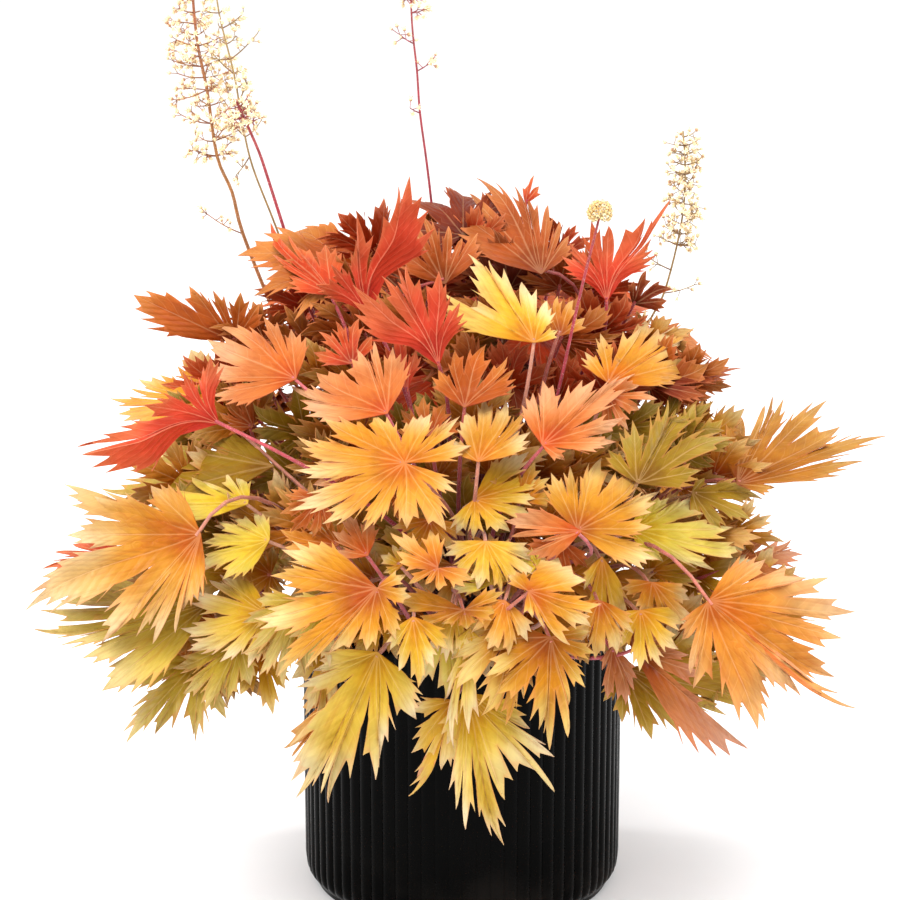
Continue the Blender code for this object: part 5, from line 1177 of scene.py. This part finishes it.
def stem_line(row):
    """A flower stem's smooth line, from the crown through the foliage and along the photographed route."""
    foot = direction(*row["foot"])
    route = row["route"]
    seen = [from_picture(px, py, row["near"] * MM) for px, py in zip(route[::2], route[1::2])]
    start = CROWN_CENTRE + foot * (CROWN_RADIUS + FOOT_GAP)
    span = (seen[0] - start).length
    into = seen[0] - (seen[1] - seen[0]).normalized() * span * 0.35
    return smooth_route(bezier(start, start + foot * span * 0.4, into, seen[0], 5) + seen[1:], 4)


def revolved(profile, sides):
    """Rings of a turned form from (radius, height) rows, the first and last close to the axis."""
    points, faces = [], []
    for k, (radius, z) in enumerate(profile):
        for turn in range(sides):
            angle = math.tau * turn / sides
            points.append((radius * math.cos(angle), radius * math.sin(angle), z))
        if k:
            faces += halves(strip((k - 1) * sides, sides))
    return np.array(points), np.array(faces)


def set_down(points, spot, ahead, size):
    """Points of a flower put at a place, opening ahead, with nothing for a blade's material to read."""
    turn = np.array(ahead.to_track_quat("Z", "Y").to_matrix())
    return (points * size) @ turn.T + np.array(spot), {key: np.zeros(len(points)) for key in READ}


def floret(spot, ahead, size, chance, pink):
    """A small bell-shaped flower at a place, opening ahead: a cup, five petals and its stamens."""
    points, cup_faces = revolved(CUP, FLOWER_SIDES)
    rows, colours = [points], [np.where(points[:, 2:3] < 0.45, pink, srgb(THROAT_CODE))]
    faces = [cup_faces]
    count = len(points)
    up = np.array([0, 0, 1.0])
    for petal in range(5):
        angle = math.tau * petal / 5 + chance.uniform(-0.15, 0.15)
        out = np.array([math.cos(angle), math.sin(angle), 0])
        aside = np.array([-math.sin(angle), math.cos(angle), 0])
        ends = [out * 0.42 + up * 0.82 - aside * 0.10, out * 0.42 + up * 0.82 + aside * 0.10,
                out * 0.80 + up * 1.20 + aside * 0.20, out * 0.80 + up * 1.20 - aside * 0.20,
                out * 1.12 + up * 1.38, out * 0.72 + up * 1.08]
        rows.append(np.array(ends))
        faces.append(np.array([(0, 1, 5), (1, 2, 5), (2, 4, 5), (4, 3, 5), (3, 0, 5), (0, 4, 1), (1, 4, 2),
                               (0, 3, 4)]) + count)
        colours.append(np.tile(srgb(PETAL_CODE), (6, 1)))
        count += 6
    for stamen in range(3):
        angle = math.tau * stamen / 3 + 0.4
        out = np.array([math.cos(angle), math.sin(angle), 0]) * 0.2
        foot = out + np.array([0, 0, 0.7])
        tip = out * 2.2 + np.array([0, 0, 1.7])
        rows.append(np.array([foot + (0.05, 0, 0), foot + (-0.03, 0.05, 0), foot + (-0.03, -0.05, 0), tip]))
        faces.append(np.array([(0, 1, 3), (1, 2, 3), (2, 0, 3), (0, 2, 1)]) + count)
        colours.append(np.tile(srgb(STAMEN_CODE), (4, 1)))
        count += 4
    points, values = set_down(np.concatenate(rows), spot, ahead, size)
    return points, np.concatenate(faces), values, np.concatenate(colours)


def bud(spot, ahead, size, tint):
    """One round closed bud with a darker tip."""
    points, faces = revolved(BUD, FLOWER_SIDES)
    colours = np.where(points[:, 2:3] > 0.7, srgb(BUD_TIP_CODE), tint)
    points, values = set_down(points, spot, ahead, size)
    return points, faces, values, colours


def blooming_twig(root, end, bow, blooms, tint, chance):
    """A twig from its root to its end with florets round its outer half."""
    twig = bezier(root, root.lerp(bow, 0.6), bow, end, 5)
    parts = [(*tube(twig, [0.42 * MM] * 3 + [0.32 * MM] * 3, 5, tint), 0)]
    out = (end - root).normalized()
    for bloom in range(blooms):
        spot = twig[-1] if bloom % 3 == 0 else twig[2 + bloom % 4]
        away = (Vector([chance.gauss(0, 1) for _ in range(3)]) + out * 0.7).normalized()
        tip = spot + away * chance.uniform(2.0, 5.2) * MM
        parts.append((*tube([spot, spot.lerp(tip, 0.5), tip], [0.25 * MM] * 3, 4, tint), 0))
        cup = srgb(chance.choice(CUP_CODES)) * STALK_SHADE
        parts.append((*floret(tip, away, chance.uniform(1.5, 2.2) * MM, chance, cup), 1))
    return parts


def flower_stem(row, materials):
    """One flower stem: its stalk, its twigs and the florets or buds on them."""
    chance = random.Random(row["seed"])
    line = stem_line(row)
    radius = row["radius"] * MM
    tint = blended(STEM_TINTS[row["tone"]])
    radii = [radius * (1 - 0.5 * k / (len(line) - 1)) for k in range(len(line))]
    parts = [(*tube(line, radii, STALK_SIDES, tint), 0)]
    near = -line[-1].y
    last_px = row["route"][-2]
    low = from_picture(last_px, row["flowers"][0], near).z
    high = min(line[-1].z, from_picture(last_px, row["flowers"][1], near).z)
    twigs = row["twigs"]
    for k in range(twigs):
        share = (k + 0.5) / twigs
        height = low + (high - low) * share - 2 * MM
        number = max(k for k, spot in enumerate(line) if spot.z <= height)
        root = line[number]
        ahead = (line[min(number + 1, len(line) - 1)] - line[number - 1]).normalized()
        turn = k * GOLDEN_TURN + chance.uniform(-0.3, 0.3)
        side = ahead.orthogonal().normalized()
        out = side * math.cos(turn) + ahead.cross(side) * math.sin(turn)
        reach = row["reach"] * METRES_A_PIXEL * chance.uniform(0.5, 1.0) * (1.0 - 0.4 * share)
        end = root + out * reach + ahead * reach * chance.uniform(0.1, 0.5)
        bow = root + out * reach * 0.55 + ahead * reach * 0.1
        blooms = max(1, round(row["blooms"] * chance.uniform(0.7, 1.2) * (1 - 0.2 * share)))
        parts += blooming_twig(root, end, bow, blooms, tint, chance)
    for px, py, end_px, end_py, blooms in row["branches"]:
        target = from_picture(px, py, near)
        root = min(line, key=lambda spot: (spot - target).length)
        away = from_picture(end_px, end_py, near) - target
        end = root + away
        bow = root + away * 0.55 - Vector((0, 0, 1)) * away.length * 0.08
        parts += blooming_twig(root, end, bow, blooms, tint, chance)
    for k in range(row.get("buds", 0)):
        share = (k + 0.5) / row["buds"]
        rise = 1 - 1.75 * share
        turn = k * GOLDEN_TURN
        round_part = math.sqrt(max(0.0, 1 - rise * rise))
        away = Vector((math.cos(turn) * round_part, math.sin(turn) * round_part, rise))
        spot = line[-1] + Vector([part * size for part, size in zip(away, BUD_HEAD)]) * MM
        bud_tint = srgb(chance.choice(BUD_CODES)) * BUD_SHADE
        parts.append((*bud(spot, away, chance.uniform(1.1, 1.5) * MM, bud_tint), 1))
    node = f"flower_stem_{row['name']}"
    piece(f"{node}_panicle", parts, materials, [node])


def wall_radius(z):
    """The pot's inner radius at a height."""
    share = (z - POT_FLOOR) / (POT_HEIGHT - POT_FLOOR)
    return POT_DIAMETER / 2 - POT_WALL - POT_TAPER * (1 - share)


def simple_piece(name, points, faces, made_material, node):
    """One object of one material that stands for a CAD node."""
    mesh = bpy.data.meshes.new(name)
    mesh.from_pydata([tuple(point) for point in points], [], [tuple(face) for face in faces])
    mesh.materials.append(made_material)
    mesh.validate()
    mesh.shade_smooth()
    mesh.set_sharp_from_angle(angle=math.radians(50))
    made = bpy.data.objects.new(name, mesh)
    bpy.context.scene.collection.objects.link(made)
    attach(made, "root")
    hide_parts(node)
    return made


def make_pot(made_material):
    """The pot with rounded ribs that run out on its bevelled foot, a rolled lip and a smooth inside."""
    outside = POT_DIAMETER / 2
    samples = 8
    columns = RIB_COUNT * samples
    outer = [(outside - inset * MM, z * MM, ribbed) for inset, z, ribbed in POT_FOOT]
    outer += [(outside - inset * MM, POT_HEIGHT - z * MM, ribbed) for inset, z, ribbed in POT_RIM]
    inner = [(outside - POT_WALL + 0.8 * MM, POT_HEIGHT, 0),
             (outside - POT_WALL + 0.2 * MM, POT_HEIGHT - 0.5 * MM, 0),
             (wall_radius(POT_HEIGHT - 2 * MM), POT_HEIGHT - 2 * MM, 0),
             (wall_radius(80 * MM), 80 * MM, 0), (wall_radius(POT_FLOOR), POT_FLOOR, 0)]
    points, faces = [], []
    for k, (radius, z, ribbed) in enumerate(outer + inner):
        for column in range(columns):
            angle = math.tau * column / columns
            turn = (column % samples) / samples - 0.5
            here = radius - ribbed * RIB_DEPTH * (turn / 0.5) ** 2
            points.append((here * math.cos(angle), here * math.sin(angle), z))
        if k:
            faces += strip((k - 1) * columns, columns)
    foot, floor = len(points), len(points) + 1
    points += [(0, 0, 0), (0, 0, POT_FLOOR)]
    last = (len(outer + inner) - 1) * columns
    for column in range(columns):
        following = (column + 1) % columns
        faces.append((foot, following, column))
        faces.append((floor, last + column, last + following))
    simple_piece("pot_ribbed", points, faces, made_material, "pot")


def make_soil(made_material):
    """The potting mix with a crumbly top."""
    low, top = POT_FLOOR + 0.3 * MM, SOIL_LEVEL - 0.5 * MM
    sides, rings = 128, 40
    limit = wall_radius(top) - 0.4 * MM
    points, faces = [(0, 0, low)], []
    for radius, z in ((wall_radius(low) - 0.3 * MM, low), (limit, top - 3 * MM)):
        points += [(radius * math.cos(math.tau * k / sides), radius * math.sin(math.tau * k / sides), z)
                   for k in range(sides)]
    for ring in range(rings):
        radius = limit * (1 - ring / rings)
        for k in range(sides):
            angle = math.tau * k / sides
            x, y = radius * math.cos(angle), radius * math.sin(angle)
            crumb = noise.fractal(Vector((x, y, 0)) * 130, 0.7, 2.1, 4)
            uneven = math.sin(x * 70) * math.cos(y * 90) + math.sin((x + y) * 160)
            points.append((x, y, top - 1.1 * MM * (1 + uneven / 2) + 0.9 * MM * crumb - 0.8 * MM))
    points.append((0, 0, top - MM))
    for k in range(sides):
        following = (k + 1) % sides
        faces.append((0, 1 + following, 1 + k))
        for ring in range(rings + 1):
            a, b = 1 + ring * sides + k, 1 + ring * sides + following
            faces.append((a, b, b + sides, a + sides))
        faces.append((len(points) - 1, 1 + (rings + 1) * sides + k, 1 + (rings + 1) * sides + following))
    simple_piece("potting_mix_top", points, faces, made_material, "potting_soil")


def make_crown(made_material):
    """The woody rootstock with its lumpy bark."""
    sides, rings = 64, 20
    points, faces = [], []
    for ring in range(rings + 1):
        rise = -0.45 + (math.pi / 2 + 0.45) * ring / rings
        for k in range(sides):
            angle = math.tau * k / sides
            out = Vector((math.cos(angle) * math.cos(rise), math.sin(angle) * math.cos(rise), math.sin(rise)))
            lump = noise.fractal(out * 4.2, 0.8, 2.0, 4)
            points.append(CROWN_CENTRE + out * (CROWN_RADIUS + 0.9 * MM * lump - 0.3 * MM))
        if ring:
            faces += strip((ring - 1) * sides, sides)
    faces.append(tuple(reversed(range(sides))))
    simple_piece("crown_rootstock", points, faces, made_material, "crown")


def add_area_light(name, place, target, size, power):
    """A white rectangular light that looks from its place to its target."""
    light = bpy.data.lights.new(name, "AREA")
    light.shape = "RECTANGLE"
    light.size, light.size_y = size
    light.energy = power
    made = bpy.data.objects.new(name, light)
    made.location = place
    made.rotation_euler = (Vector(target) - Vector(place)).to_track_quat("-Z", "Y").to_euler()
    bpy.context.scene.collection.objects.link(made)


def make_stage():
    """The plain pale floor, the soft light and the camera."""
    scene = bpy.context.scene
    mesh = bpy.data.meshes.new("studio_floor")
    corners = ((-1, -1), (1, -1), (1, 1), (-1, 1))
    mesh.from_pydata([(x * FLOOR_REACH, y * FLOOR_REACH, 0) for x, y in corners], [], [(0, 1, 2, 3)])
    mesh.materials.append(floor_material())
    floor = bpy.data.objects.new("studio_floor", mesh)
    scene.collection.objects.link(floor)

    world = bpy.data.worlds.new("studio")
    scene.world = world
    world.use_nodes = True
    background = world.node_tree.nodes["Background"]
    background.inputs["Color"].default_value = (1, 1, 1, 1)
    background.inputs["Strength"].default_value = WORLD_STRENGTH
    for light in LIGHTS:
        add_area_light(*light)

    scene.view_settings.view_transform = "Standard"
    camera = bpy.data.cameras.new("camera")
    camera.sensor_fit = "HORIZONTAL"
    camera.sensor_width = 36.0
    camera.lens = camera.sensor_width * VIEW_DISTANCE / (METRES_A_PIXEL * PICTURE_WIDTH)
    camera.clip_end = 60
    eye = bpy.data.objects.new("camera", camera)
    eye.matrix_world = Matrix.Translation(unproject(*PICTURE_CENTRE_PX, VIEW_DISTANCE)) @ Matrix(
        (RIGHT, UP, TOWARD)).transposed().to_4x4()
    scene.collection.objects.link(eye)
    scene.camera = eye


def leaf_parts(leaf, foot, spacing, first_radius, sway=0, lift=0, late=SETTLED[-1]):
    """A leaf's blade and its stalk, which tapers from its first radius at the crown."""
    route = stalk_route(leaf, foot, sway, lift, late)
    radii = [first_radius + (STALK_RADII[1] - first_radius) * k / STALK_STEPS for k in range(STALK_STEPS + 1)]
    tint = next(codes for tones, codes in STALK_TINTS.items() if leaf.tone in tones.split())
    return [(*blade(leaf, spacing), 0), (*tube(route, radii, STALK_SIDES, blended(tint)), 1)]


def main():
    """All pieces of the plant, and the stage."""
    make_stage()
    leaves = ruled_leaves(RINGS, 40) + [photographed_leaf(7 * k + 3, *row) for k, row in enumerate(LEAVES)]
    leaves = {leaf.name: leaf for leaf in leaves}
    stalk = stalk_material()
    blades = [leaf_material(), stalk]
    for name, (turn, rise, *shoot) in SHOOTS.items():
        parts = []
        for leaf_name, *settled in shoot:
            push, sway, lift, late = settled + SETTLED[len(settled):]
            leaf = leaves[leaf_name]
            leaf.base = leaf.base + (leaf.bend if leaf.filler else TOWARD) * push * PUSH_STEP
            spacing = FILLER_SPACING if leaf.filler else POINT_SPACING
            parts += leaf_parts(leaf, direction(turn, rise), spacing, STALK_RADII[0], sway, lift, late)
        node = f"leaf_{name}"
        piece(f"{node}_foliage", parts, blades, [node])
    more = [photographed_leaf(800 + number, *row) for number, row in enumerate(MORE_LEAVES)]
    for leaf in more + inner_leaves() + ruled_leaves(MORE_RINGS, 60):
        foot = ((leaf.base - CROWN_CENTRE).normalized() + Vector((0, 0, 0.5))).normalized()
        parts = leaf_parts(leaf, foot, FILLER_SPACING, STALK_RADII[0] * FILL_STALK)
        piece(f"{leaf.name}_foliage", parts, blades, [])
    panicle = [stalk, floret_material()]
    for row in STEMS:
        flower_stem(row, panicle)
    make_pot(pot_material())
    make_soil(soil_material())
    make_crown(bark_material())


main()
